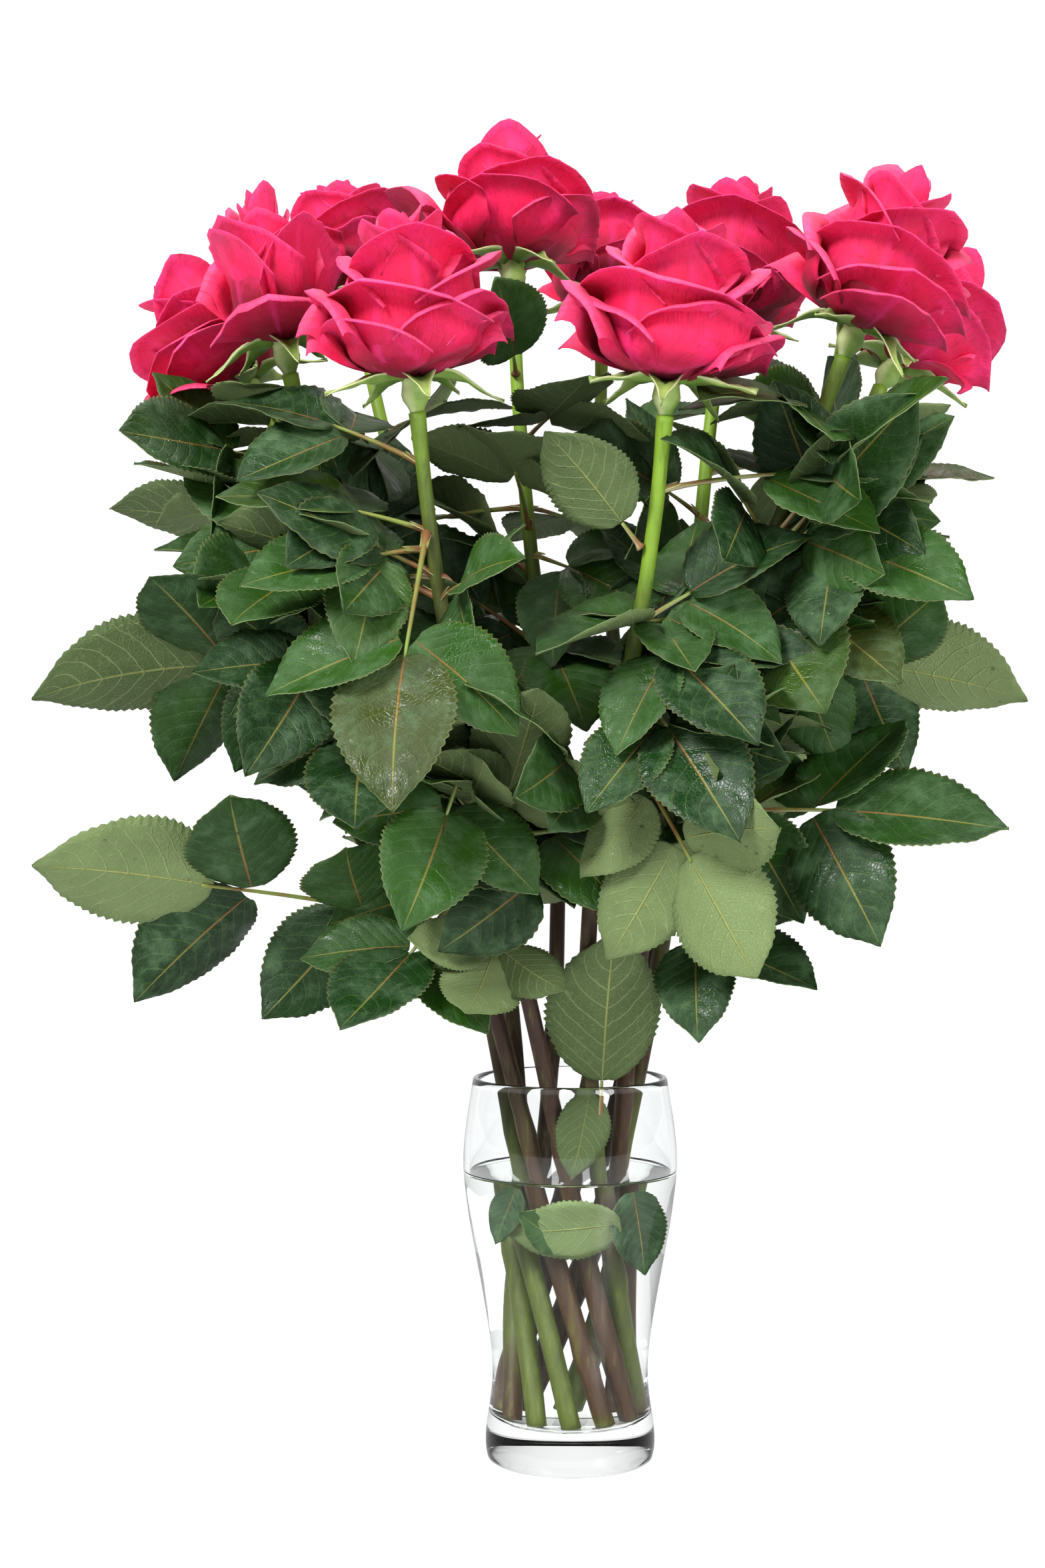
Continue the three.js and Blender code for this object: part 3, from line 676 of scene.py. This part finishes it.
def petal(bm, head, spec, phi, rng):
    """One petal: it leaves the middle low down, turns up the head's side and rolls out at its rim."""
    base, side_x, side_y, axis, width, height = head
    out_share, high_share, roll, spread, leave, wall = spec
    across, along = PETAL_GRID
    seed = rng.uniform(0, 100)
    foot = 0.045 * width
    target_r = out_share * width
    target_z = high_share * height
    start_roll = rng.uniform(0.83, 0.88) - 0.22 * out_share
    roll = math.radians(roll * rng.uniform(0.8, 1.2))
    spread = math.radians(spread * rng.uniform(0.9, 1.1))
    point = rng.uniform(0.02, 0.05) + 0.07 * out_share
    lean = rng.uniform(-0.05, 0.05)
    ripple = rng.uniform(0.6, 1.5) * MM * (0.4 + out_share * 2.4)
    tint = rng.uniform(0.1, 0.9)
    loose = clamp((out_share - 0.3) / 0.1)
    columns = []
    fine = 4
    for i in range(across + 1):
        u = -1 + 2 * i / across
        reach = 1 - 0.30 * abs(u) ** 2.4 + point * math.exp(-((u / 0.2) ** 2)) + lean * u
        turn = roll * (0.75 + 0.25 * abs(u) ** 1.4) * (1 + 0.25 * wobble(u * 1.5, seed, 2))
        r = z = 0.0
        trail = [(r, z)]
        for j in range(along * fine):
            t = (j + 0.5) / (along * fine)
            slope = math.radians(leave + (wall - leave) * smooth(t * reach / 0.5))
            slope -= turn * clamp((t - start_roll) / (1.0 - start_roll)) ** 1.3
            r += math.cos(slope) * reach / (along * fine)
            z += math.sin(slope) * reach / (along * fine)
            if (j + 1) % fine == 0:
                trail.append((r, z))
        columns.append(trail)
    centre = columns[across // 2]
    knee = centre[int(round(start_roll * along))]
    k_r = (target_r - foot) / max(knee[0], 0.05)
    k_z = target_z / max(max(z for _, z in centre), 0.1)
    k_roll = 0.5 * (k_r + k_z)

    def place(a, v):
        i = int(round((a + 1) / 2 * across))
        j = int(round(v * along))
        r, z = columns[i][j]
        r = foot + (min(r, knee[0]) * k_r + max(0.0, r - knee[0]) * k_roll)
        z *= k_z
        r *= 1 + 0.105 * a * smooth(v * 2)
        broad = 0.4 + 0.6 * smooth(v / 0.5)
        angle = phi + spread * a * broad
        fold = clamp((a - 0.55) / 0.45) ** 2 * smooth((v - 0.3) * 1.7)
        fold += clamp((-a - 0.62) / 0.38) ** 2 * smooth((v - 0.3) * 1.7) * loose
        r += fold * (1.0 + 17 * out_share) * MM
        wave = wobble(a * 1.7 + seed, v * 2.1, seed) * ripple * v
        wave += wobble(a * 5 + seed, v * 4, 7) * ripple * 0.8 * v * v
        r += wave
        z += wave * 0.6 - fold * 11 * out_share * MM
        out = side_x * math.cos(angle) + side_y * math.sin(angle)
        return base + axis * z + out * max(r, 0.2 * MM)

    sheet(bm, across, along, place, front=0, back=1, thick=PETAL_THICK, tint=tint)


def fit_head(bm, head):
    """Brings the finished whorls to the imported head's width and height."""
    base, _, _, axis, width, height = head
    reach = []
    top = 0.0
    for v in bm.verts:
        rel = v.co - base
        up = rel.dot(axis)
        reach.append((rel - axis * up).length)
        top = max(top, up)
    reach.sort()
    k_out = 0.5 * width / reach[int(len(reach) * 0.999)]
    k_up = height / top
    for v in bm.verts:
        rel = v.co - base
        up = rel.dot(axis)
        v.co = base + (rel - axis * up) * k_out + axis * up * k_up


def hanging_petal(bm, head, phi):
    """A narrow loose petal that hangs from under the head and curls at its tip."""
    base = head[0]
    out = Vector((math.cos(phi), math.sin(phi), 0))
    across = DOWN.cross(out)

    def place(a, v):
        half = 9.5 * MM * math.sin(math.pi * (0.12 + 0.84 * v)) ** 0.8
        turn = 2.6 * clamp((v - 0.62) / 0.38) ** 1.3
        spot = base + out * (10 * MM + 17 * MM * smooth(v * 1.4)) + DOWN * (26 * MM * v * v - 6 * MM * v)
        spot += (out * math.sin(turn) * 5 + DOWN * (1 - math.cos(turn)) * -3) * MM
        return spot + across * a * half + out * (a * a) * half * 0.55

    sheet(bm, 10, 18, place, front=0, back=1, thick=PETAL_THICK, tint=0.6)


def head_object(rose, seed):
    """A flower head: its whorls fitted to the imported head, and its wide petals."""
    rng = random.Random(seed)
    base, axis, width, height = head_of(rose)
    side_x = axis.orthogonal().normalized()
    side_y = axis.cross(side_x)
    head = (base, side_x, side_y, axis, width, height)
    tight = clamp((height / width - 0.75) / 0.35)
    bm = bmesh.new()
    phi = rng.uniform(0, TAU)
    for w, (count, out, high, roll, spread, leave, wall) in enumerate(WHORLS):
        outness = w / (len(WHORLS) - 1)
        out *= 1 + 0.05 * rng.uniform(-1, 1)
        roll *= 1 - 0.6 * tight
        high = high + (0.95 - high) * 0.55 * tight
        for i in range(count):
            own_out = out * rng.uniform(0.95, 1.05)
            own_high = high * rng.uniform(0.95 - 0.12 * outness, 1.02 + 0.06 * outness)
            turn = phi + i * TAU / count + rng.uniform(-0.12, 0.12)
            petal(bm, head, (own_out, own_high, roll, spread, leave, wall), turn, rng)
        phi += math.pi / count + rng.uniform(0.1, 0.45)
    fit_head(bm, head)
    for bearing, spec in WIDE_PETALS.get(rose, ()):
        way = Vector((math.cos(math.radians(bearing)), math.sin(math.radians(bearing)), 0))
        petal(bm, head, spec, math.atan2(way.dot(side_y), way.dot(side_x)), rng)
    if rose == "far_right":
        hanging_petal(bm, head, math.radians(-25))
    bmesh.ops.recalc_face_normals(bm, faces=bm.faces)
    return new_object("petals_" + rose, bm, [petal_outer, petal_inner], replaces=["bloom_" + rose])


# The hip's outline: height as a share of the way from stem to petals, and radius as a share of its widest.
HIP = [
    (0.0, 0.5), (0.08, 0.53), (0.2, 0.66), (0.38, 0.92), (0.55, 1.0), (0.75, 0.92), (0.9, 0.86),
    (1.06, 1.05),
]
HIP_RADIUS = 5.6 * MM
SEPALS = 5
SEPAL_HALF_WIDTH = 6.8 * MM


def calyx_object(rose, seed):
    """The hip and its five folded-back sepals."""
    rng = random.Random(seed + 500)
    base, axis, _, _ = head_of(rose)
    top = lines[rose][-1]
    side_x = axis.orthogonal().normalized()
    side_y = axis.cross(side_x)
    rise = (base - top).length
    bm = bmesh.new()
    centres = [top + axis * rise * t for t, _ in HIP]
    tube(bm, centres, [HIP_RADIUS * k for _, k in HIP], sides=16)
    start = rng.uniform(0, TAU)
    for i in range(SEPALS):
        phi = start + i * TAU / SEPALS + rng.uniform(-0.15, 0.15)
        out = side_x * math.cos(phi) + side_y * math.sin(phi)
        across = axis.cross(out)
        length = rng.uniform(26, 33) * MM
        droop = rng.uniform(0.0, 0.6)

        def place(a, v, out=out, across=across, length=length, droop=droop):
            half = SEPAL_HALF_WIDTH * (1 - v) ** 0.7 * (0.75 + 0.5 * math.sin(math.pi * min(1, v * 1.6)))
            slope = 0.1 - droop * smooth(v * 1.2) - 0.1 * v * v
            centre = base - axis * 0.8 * MM + out * (5.2 * MM + length * v * math.cos(slope * 0.8))
            centre += axis * length * v * math.sin(slope * 0.9) * 0.9
            curl = abs(a) ** 1.5 * half * 0.5 + 1.2 * MM * wobble(v * 4 + start, a * 2, 5)
            return centre + across * a * half + axis * curl

        sheet(bm, 6, 12, place, thick=SEPAL_THICK)
    bmesh.ops.recalc_face_normals(bm, faces=bm.faces)
    return new_object("calyx_look_" + rose, bm, [sepal_green], replaces=["calyx_" + rose])


# ---------------------------------------------------------------- leaves

def leaflet(bm, root, ahead, aside, up, size, rng, broad=LEAFLET_ASPECT, grid=LEAFLET_GRID,
            twisted=False):
    """A toothed, folded and slightly curled leaflet whose upper face looks up, or down if twisted."""
    teeth = TEETH if grid == LEAFLET_GRID else grid[1] // 2
    tint = rng.uniform(0.05, 0.95)
    seed = rng.uniform(0, 100)
    bend = rng.uniform(0.0, 0.22)
    twist = rng.uniform(-0.3, 0.3)
    fold = rng.uniform(0.08, 0.3)
    cup = rng.uniform(-0.1, 0.14)
    sway = rng.uniform(-0.05, 0.05)

    def place(a, v):
        along = 0.02 + 0.98 * v
        full = max(0.0, math.sin(math.pi * along ** 0.82)) ** 0.72
        full *= 1 - 0.35 * smooth((along - 0.8) / 0.2)
        tooth = 1 + 0.09 * ((v * teeth) % 1.0 - 0.5) * clamp((abs(a) - 0.7) / 0.3) * (full > 0.12)
        half = max(0.0, full) * size * broad / 2 * tooth + 0.25 * MM * (1 - v)
        x = along * size
        y = a * half
        lateral = abs(a) * half
        z = fold * lateral + cup * lateral * lateral / (size * 0.3)
        z -= bend * size * v * v
        z += size * 0.02 * wobble(v * 3 + seed, a * 1.5, seed) * abs(a)
        ridge = math.cos(TAU * VEINS * (v - abs(a) * 0.2 - a * a * 0.12))
        z += 0.1 * MM * ridge * abs(a) * (1 - a * a) * min(1, full * 2)
        z += 1.3 * MM * wobble(v * 6 + seed, a * 3, 3) * abs(a)
        y += sway * size * v * v
        turn = twist * v
        sideways = y * math.cos(turn) - z * math.sin(turn)
        upward = z * math.cos(turn) + y * math.sin(turn)
        return root + ahead * x + aside * sideways + up * upward

    under, upper = (0, 1) if twisted else (1, 0)
    sheet(bm, *grid, place, front=under, back=upper, thick=LEAFLET_THICK, tint=tint)
    if rng.random() < 0.55 and grid == LEAFLET_GRID:
        for _ in range(rng.randint(4, 9)):
            a = rng.uniform(-0.75, 0.75)
            v = rng.uniform(0.12, 0.88)
            spot = place(a, v)
            normal = (place(a, v + 0.01) - spot).cross(place(a + 0.02, v) - spot).normalized()
            drop(bm, spot, normal * (-1 if normal.dot(up) < 0 else 1), rng)


def drop(bm, spot, normal, rng):
    """A flattened bead of water on a leaflet."""
    size = rng.uniform(0.45, 1.15) * MM
    turn = UP.rotation_difference(normal).to_matrix().to_4x4()
    shape = Matrix.Diagonal((size, size, size * 0.6, 1))
    place = Matrix.Translation(spot + normal * size * 0.2) @ turn @ shape
    made = bmesh.ops.create_uvsphere(bm, u_segments=8, v_segments=5, radius=1, matrix=place)["verts"]
    for f in {f for v in made for f in v.link_faces}:
        f.material_index = 3


def leaf(bm, foot, ahead, aside, up, chord, count, rng, grid=LEAFLET_GRID, twisted=False):
    """A whole leaf: its stalk, small wings at its foot, and its leaflets in pairs with one at the end."""
    length = chord / math.hypot(1, LEAF_DROOP)
    tilt = math.atan(LEAF_DROOP)
    level = ahead * math.cos(tilt) + up * math.sin(tilt)
    rise = up * math.cos(tilt) - ahead * math.sin(tilt)
    if count == 1:
        end = SINGLE_SHARE * length
    else:
        end = max(SHORTEST_LEAFLET, LEAFLET_SHARE * length)
        end = min(end, LONGEST_LEAFLET, WHOLE_SHARE * length)
    stalk = length - end

    def spot(x):
        return foot + level * x - rise * LEAF_DROOP * x * x / length

    def way(x):
        return (level - rise * 2 * LEAF_DROOP * x / length).normalized()

    steps = 10
    course = [spot(stalk * 1.06 * i / steps) for i in range(steps + 1)]
    radii = [(1.25 - 0.6 * i / steps) * MM for i in range(steps + 1)]
    radii[0] *= 1.7
    radii[1] *= 1.2
    tube(bm, course, radii, sides=8, front=2)
    blades = [(stalk, end, 0)]
    if count >= 3:
        blades += [(stalk * 0.86, end * 0.92, side) for side in (1, -1)]
    if count >= 5:
        blades += [(stalk * 0.42, end * 0.78, side) for side in (1, -1)]
    for x, size, side in blades:
        axis = way(x)
        normal = axis.cross(aside)
        turn = side * LEAFLET_SPREAD * rng.uniform(0.92, 1.05)
        forward = axis * math.cos(turn) + aside * math.sin(turn)
        sideways = aside * math.cos(turn) - axis * math.sin(turn)
        rank = 0 if not side else (1 if x > stalk * 0.6 else 2)
        pitch = rng.uniform(-0.06, 0.12) - 0.16 * rank
        roll = rng.uniform(-0.25, 0.25) - side * 0.12
        forward_t = forward * math.cos(pitch) + normal * math.sin(pitch)
        normal_t = normal * math.cos(pitch) - forward * math.sin(pitch)
        sideways_t = sideways * math.cos(roll) + normal_t * math.sin(roll)
        normal_t = normal_t * math.cos(roll) - sideways * math.sin(roll)
        root = spot(x) + forward_t * (2.2 * MM if side else 0.0) - normal * 0.9 * MM * rank
        size *= rng.uniform(0.88, 1.0) if side else rng.uniform(0.99, 1.1)
        leaflet(bm, root, forward_t, sideways_t, normal_t, size, rng, grid=grid,
                twisted=twisted and side != 0)
    if count >= 3:
        for side in (1, -1):
            wing(bm, spot(1.0 * MM), way(0), aside * side, rise)


def wing(bm, root, ahead, aside, up):
    """The narrow wing that runs up the foot of a leaf stalk and ends in a free point."""
    def place(a, v):
        half = 0.8 * MM * (1 - v) ** 0.5 * (1 + a)
        out = 0.4 * MM + half + 0.9 * MM * v * v
        return root + ahead * v * 8 * MM + aside * out + up * (0.3 * MM + 0.8 * MM * v)

    sheet(bm, 2, 6, place, front=2, back=2, thick=WING_THICK)


# Leaflets inside the glass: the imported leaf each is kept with, its root, the way it points, the way
# it faces, its length and its width over its length, and whether its pale side shows.
SUNK = [
    ("sunk_pale", (0.020, -0.0315, 0.1045), (-1.0, 0.0, -0.13), (0.05, -1.0, -0.35), 0.046, 0.56, True),
    ("sunk_green", (0.023, -0.0255, 0.117), (0.22, -0.08, -1.0), (0.35, -1.0, 0.1), 0.036, 0.72, False),
    ("mouth_upright", (0.007, -0.030, 0.157), (-0.14, -0.1, -1.0), (0.1, -1.0, 0.0), 0.036, 0.62, True),
    ("sunk_pale", (-0.020, -0.0235, 0.118), (-0.45, -0.2, -1.0), (-0.7, -0.9, 0.1), 0.026, 0.6, False),
]


def reaching_leaf(bm, rose, height, tip, count, facing, rng):
    """A leaf from a stem at a height to a tip, its upper side turned the way that it faces."""
    line = lines[rose]
    foot = min(line, key=lambda p: abs(p.z - height))
    chord = (tip - foot).length
    ahead = (tip - foot) / chord
    up = (facing - ahead * facing.dot(ahead)).normalized()
    leaf(bm, foot, ahead, up.cross(ahead), up, chord, count, rng)


EDGE_ROOM = 30 * MM
FILLED_TO = 448 * MM


def filler(bm, stem, rng):
    """One of the many smaller leaves that fill the bunch, spreading out and up from a stem."""
    low, high = cad_box
    line = lines[stem]
    for _ in range(60):
        point = line[rng.randint(int(len(line) * 0.46), int(len(line) * 0.93))]
        outward = math.atan2(point.y - 0.02, point.x) + rng.gauss(0, 0.85)
        rise = rng.uniform(-0.2, 0.75)
        level = Vector((math.cos(outward), math.sin(outward), 0))
        ahead = level * math.cos(rise) + UP * math.sin(rise)
        chord = rng.uniform(74, 112) * MM
        tip = point + ahead * chord
        within = low.x + EDGE_ROOM < tip.x < high.x - EDGE_ROOM
        within = within and low.y + EDGE_ROOM < tip.y < high.y - EDGE_ROOM
        reach = math.hypot(tip.x, tip.y)
        if within and tip.z < FILLED_TO and reach < 0.06 + 0.42 * (tip.z - 0.16):
            break
    facing = level * rng.uniform(0.3, 1.0) + Vector((0, -0.35, 0.75))
    if rng.random() < 0.18:
        facing = Vector((0, 0.6, 0.9)) + Vector((rng.uniform(-0.4, 0.4), 0, 0))
    up = (facing - ahead * facing.dot(ahead)).normalized()
    aside = up.cross(ahead)
    count = rng.choice((3, 3, 5))
    leaf(bm, point, ahead, aside, up, chord, count, rng, grid=FILLER_GRID)


def leaf_object(node, seed):
    """A packed leaf, with the extra leaves and leaflets that are kept with it."""
    rng = random.Random(seed + 900)
    foot, ahead, aside, up, chord = leaf_frame(node)
    bm = bmesh.new()
    _, number, name = node.split("_", 2)
    leaf(bm, foot, ahead, aside, up, chord, NUMBERS[number], rng, twisted=name in TWISTED)
    for kept, rose, height, tip, count, facing in REACHING:
        if kept == name:
            reaching_leaf(bm, rose, height, Vector(tip), count, Vector(facing), rng)
    for kept, root, ahead, up, size, broad, twisted in SUNK:
        if kept == name:
            ahead = Vector(ahead).normalized()
            up = Vector(up)
            up = (up - ahead * up.dot(ahead)).normalized()
            leaflet(bm, Vector(root), ahead, up.cross(ahead), up, size, rng, broad=broad,
                    twisted=twisted)
    stem = LEAF_STEMS[name]
    for _ in range(fillers[node]):
        filler(bm, stem, rng)
    bmesh.ops.recalc_face_normals(bm, faces=bm.faces)
    materials = [leaf_top, leaf_under, stalk_green, droplet]
    return new_object(node.replace("leaf_", "foliage_", 1), bm, materials, replaces=[node])


# ---------------------------------------------------------------- glass and water

low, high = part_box("vase")
TALL = high.z - low.z
WIDE = high.x - low.x
INSIDE_FLOOR = 0.1 * TALL
WALL = 2.4 * MM
INSIDE_ROUND = 9 * MM
WATER_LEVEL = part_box("water")[1].z

# The glass's outer side, from its foot over the waist and the belly to the rim: height as a share of its
# height, and radius as a share of its greatest width.
GLASS_SIDE = [
    (0.0, 0.365), (0.006, 0.383), (0.019, 0.396), (0.05, 0.3975), (0.1, 0.389), (0.15, 0.373),
    (0.2125, 0.361), (0.28, 0.365), (0.36, 0.385), (0.45, 0.413), (0.53, 0.44), (0.62, 0.47),
    (0.7, 0.489), (0.75, 0.5), (0.82, 0.4985), (0.9, 0.481), (0.96, 0.463), (1.0, 0.4528),
]


def glass_radius(z):
    heights, halves = zip(*GLASS_SIDE)
    return float(np.interp(z / TALL, heights, halves)) * WIDE


def smooth_profile(low_z, high_z, steps, inset):
    """The glass's side from one height to another with its corners eased, moved in by inset(z)."""
    zs = [low_z + (high_z - low_z) * i / steps for i in range(steps + 1)]
    raw = [glass_radius(z) for z in zs]
    for _ in range(3):
        eased = [(raw[i - 1] + 2 * raw[i] + raw[i + 1]) / 4 for i in range(1, steps)]
        raw = [raw[0]] + eased + [raw[-1]]
    return [(r - inset(z), z) for r, z in zip(raw, zs)]


def inside_inset(z):
    """The wall's thickness, with the round where it meets the inside floor."""
    left = clamp(1 - (z - INSIDE_FLOOR) / INSIDE_ROUND)
    return WALL + INSIDE_ROUND * (1 - math.sqrt(max(0.0, 1 - left * left)))


def vase_object():
    """The turned glass, whose wall under the water has its own material."""
    bm = bmesh.new()
    outer = smooth_profile(1.6 * MM, TALL - 0.9 * MM, 56, lambda z: 0.0)
    inner = smooth_profile(INSIDE_FLOOR, TALL - 0.9 * MM, 56, inside_inset)
    rim_out, rim_in = outer[-1][0], inner[-1][0]
    middle = (rim_out + rim_in) / 2
    roll = (rim_out - middle) * 0.7
    lip = [(middle + roll, TALL - 0.25 * MM), (middle, TALL), (middle - roll, TALL - 0.25 * MM)]
    foot = [(0.0, 1.2), (22, 1.2), (29, 0.5), (31.5, 0.0), (33.4, 0.15), (34.4, 0.8)]
    foot = [(r * MM, z * MM) for r, z in foot]
    profile = foot + outer + lip + inner[::-1] + [(0.0, INSIDE_FLOOR - 0.8 * MM)]
    spin_profile(bm, profile, 96)
    for f in bm.faces:
        spot = f.calc_center_median()
        inside = math.hypot(spot.x, spot.y) < glass_radius(spot.z) - WALL / 2
        if inside and INSIDE_FLOOR - 1.2 * MM < spot.z < WATER_LEVEL + 0.4 * MM:
            f.material_index = 1
    return new_object("glass", bm, [glass, wet_glass], replaces=["vase"])


def water_object():
    """The water, its edge drawn up where it meets the glass."""
    bm = bmesh.new()
    side = smooth_profile(INSIDE_FLOOR, WATER_LEVEL, 48, lambda z: inside_inset(z) - 0.12 * MM)
    edge = side[-1][0]
    side[0] = (side[0][0], side[0][1] - 0.15 * MM)
    skin = [(0.0, 1.2), (0.5, 0.55), (1.3, 0.15), (2.6, 0.0)]
    skin = [(edge - r * MM, WATER_LEVEL + z * MM) for r, z in skin]
    profile = [(0.0, INSIDE_FLOOR - 0.95 * MM)] + side + skin + [(0.0, WATER_LEVEL)]
    spin_profile(bm, profile, 96)
    for f in bm.faces:
        if f.calc_center_median().z < WATER_LEVEL - 0.05 * MM:
            f.material_index = 1
    return new_object("water_fill", bm, [water_clear, water_edge], replaces=["water"])


# ---------------------------------------------------------------- making it all

vase_object()
water_object()
for i, rose in enumerate(ROSES):
    stem_object(rose, i)
    head_object(rose, i + 20)
    calyx_object(rose, i + 40)
LEAVES = sorted(n for n in nodes if n.startswith("leaf_"))
# How many smaller leaves are kept with each packed leaf: none under water, and three with every third.
fillers = {n: 0 if "sunk" in n else 2 + (i % 3 == 0) for i, n in enumerate(LEAVES)}
for i, node in enumerate(LEAVES):
    leaf_object(node, i)


# ---------------------------------------------------------------- stage

FLOOR_RADIUS = 30.0


def floor_object():
    """A wide white floor that glows a little to the camera and mirrors dimly in the glass."""
    bm = bmesh.new()
    bmesh.ops.create_circle(bm, cap_ends=True, segments=64, radius=FLOOR_RADIUS)
    m = Maker("white_surface")
    body = m.coords("Object")
    grain = m.noise(body, 30.0, 2.0)
    path = m.node("ShaderNodeLightPath")
    colour = m.blend(grain, (0.9, 0.91, 0.925, 1), (0.93, 0.94, 0.955, 1))
    through = m.value(path.outputs["Is Transmission Ray"])
    mirrored = m.value(path.outputs["Is Glossy Ray"]) * (1.0 - through)
    colour = m.blend(mirrored * 0.75, colour, (0.1, 0.1, 0.1, 1))
    skin = m.surface(Base_Color=colour, Roughness=0.16 + grain * 0.05)
    glow = m.node("ShaderNodeEmission", {"Color": WHITE, "Strength": 1.12})
    looked_at = m.value(path.outputs["Is Camera Ray"]) + through
    white = m.finish(m.mix_shader(looked_at * 0.7 + 0.06, skin, m.value(glow.outputs[0])))
    return new_object("floor", bm, [white], rides=None)


floor_object()


def lamp(name, place, aim, size, power):
    data = bpy.data.lights.new(name, "AREA")
    data.shape = "DISK"
    data.size = size
    data.energy = power
    obj = bpy.data.objects.new(name, data)
    obj.location = place
    obj.rotation_euler = (Vector(aim) - Vector(place)).to_track_quat("-Z", "Y").to_euler()
    bpy.context.scene.collection.objects.link(obj)


lamp("key", (-1.1, -1.5, 1.7), (0, 0, 0.4), 0.8, 62)
lamp("fill", (1.4, -1.6, 1.0), (0, 0, 0.4), 0.9, 24)
lamp("top", (0.1, 0.5, 2.2), (0, 0, 0.3), 1.4, 22)

# How white the surroundings are to the camera, to surfaces that they light, and to what the glass mirrors
# or bends, which is nearly dark in front and grows white towards the back.
SEEN_WHITE = 1.05
LIT_WHITE = 0.72
FRONT_WHITE, BACK_WHITE = 0.06, 1.0
GROWS_FROM, GROWS_TO = 0.3, 0.97


def studio_world():
    """White surroundings, with their own strength for each kind of ray."""
    world = bpy.data.worlds.new("studio")
    world.use_nodes = True
    bpy.context.scene.world = world
    tree = world.node_tree

    def white(strength):
        made = tree.nodes.new("ShaderNodeBackground")
        made.inputs["Color"].default_value = WHITE
        made.inputs["Strength"].default_value = strength
        return made.outputs[0]

    def choose(share, first, second):
        made = tree.nodes.new("ShaderNodeMixShader")
        for socket, source in zip(made.inputs, (share, first, second)):
            tree.links.new(source, socket)
        return made.outputs[0]

    look = tree.nodes.new("ShaderNodeTexCoord")
    apart = tree.nodes.new("ShaderNodeSeparateXYZ")
    grade = tree.nodes.new("ShaderNodeMapRange")
    for i, limit in enumerate((GROWS_FROM, GROWS_TO, FRONT_WHITE, BACK_WHITE), 1):
        grade.inputs[i].default_value = limit
    mirrored = tree.nodes["Background"]
    mirrored.inputs["Color"].default_value = WHITE
    tree.links.new(look.outputs["Generated"], apart.inputs[0])
    tree.links.new(apart.outputs["Y"], grade.inputs["Value"])
    tree.links.new(grade.outputs[0], mirrored.inputs["Strength"])
    path = tree.nodes.new("ShaderNodeLightPath")
    lit = choose(path.outputs["Is Diffuse Ray"], mirrored.outputs[0], white(LIT_WHITE))
    both = choose(path.outputs["Is Camera Ray"], lit, white(SEEN_WHITE))
    tree.links.new(both, tree.nodes["World Output"].inputs["Surface"])


studio_world()

camera = bpy.data.cameras.new("camera")
camera.sensor_fit = "VERTICAL"
camera.sensor_height = 36
camera.lens = 57.3
eye = bpy.data.objects.new("camera", camera)
eye.location = (-0.02, -1.05, 0.283)
eye.rotation_euler = (math.radians(90), 0, 0)
bpy.context.scene.collection.objects.link(eye)
bpy.context.scene.camera = eye
bpy.context.scene.view_settings.view_transform = "Standard"
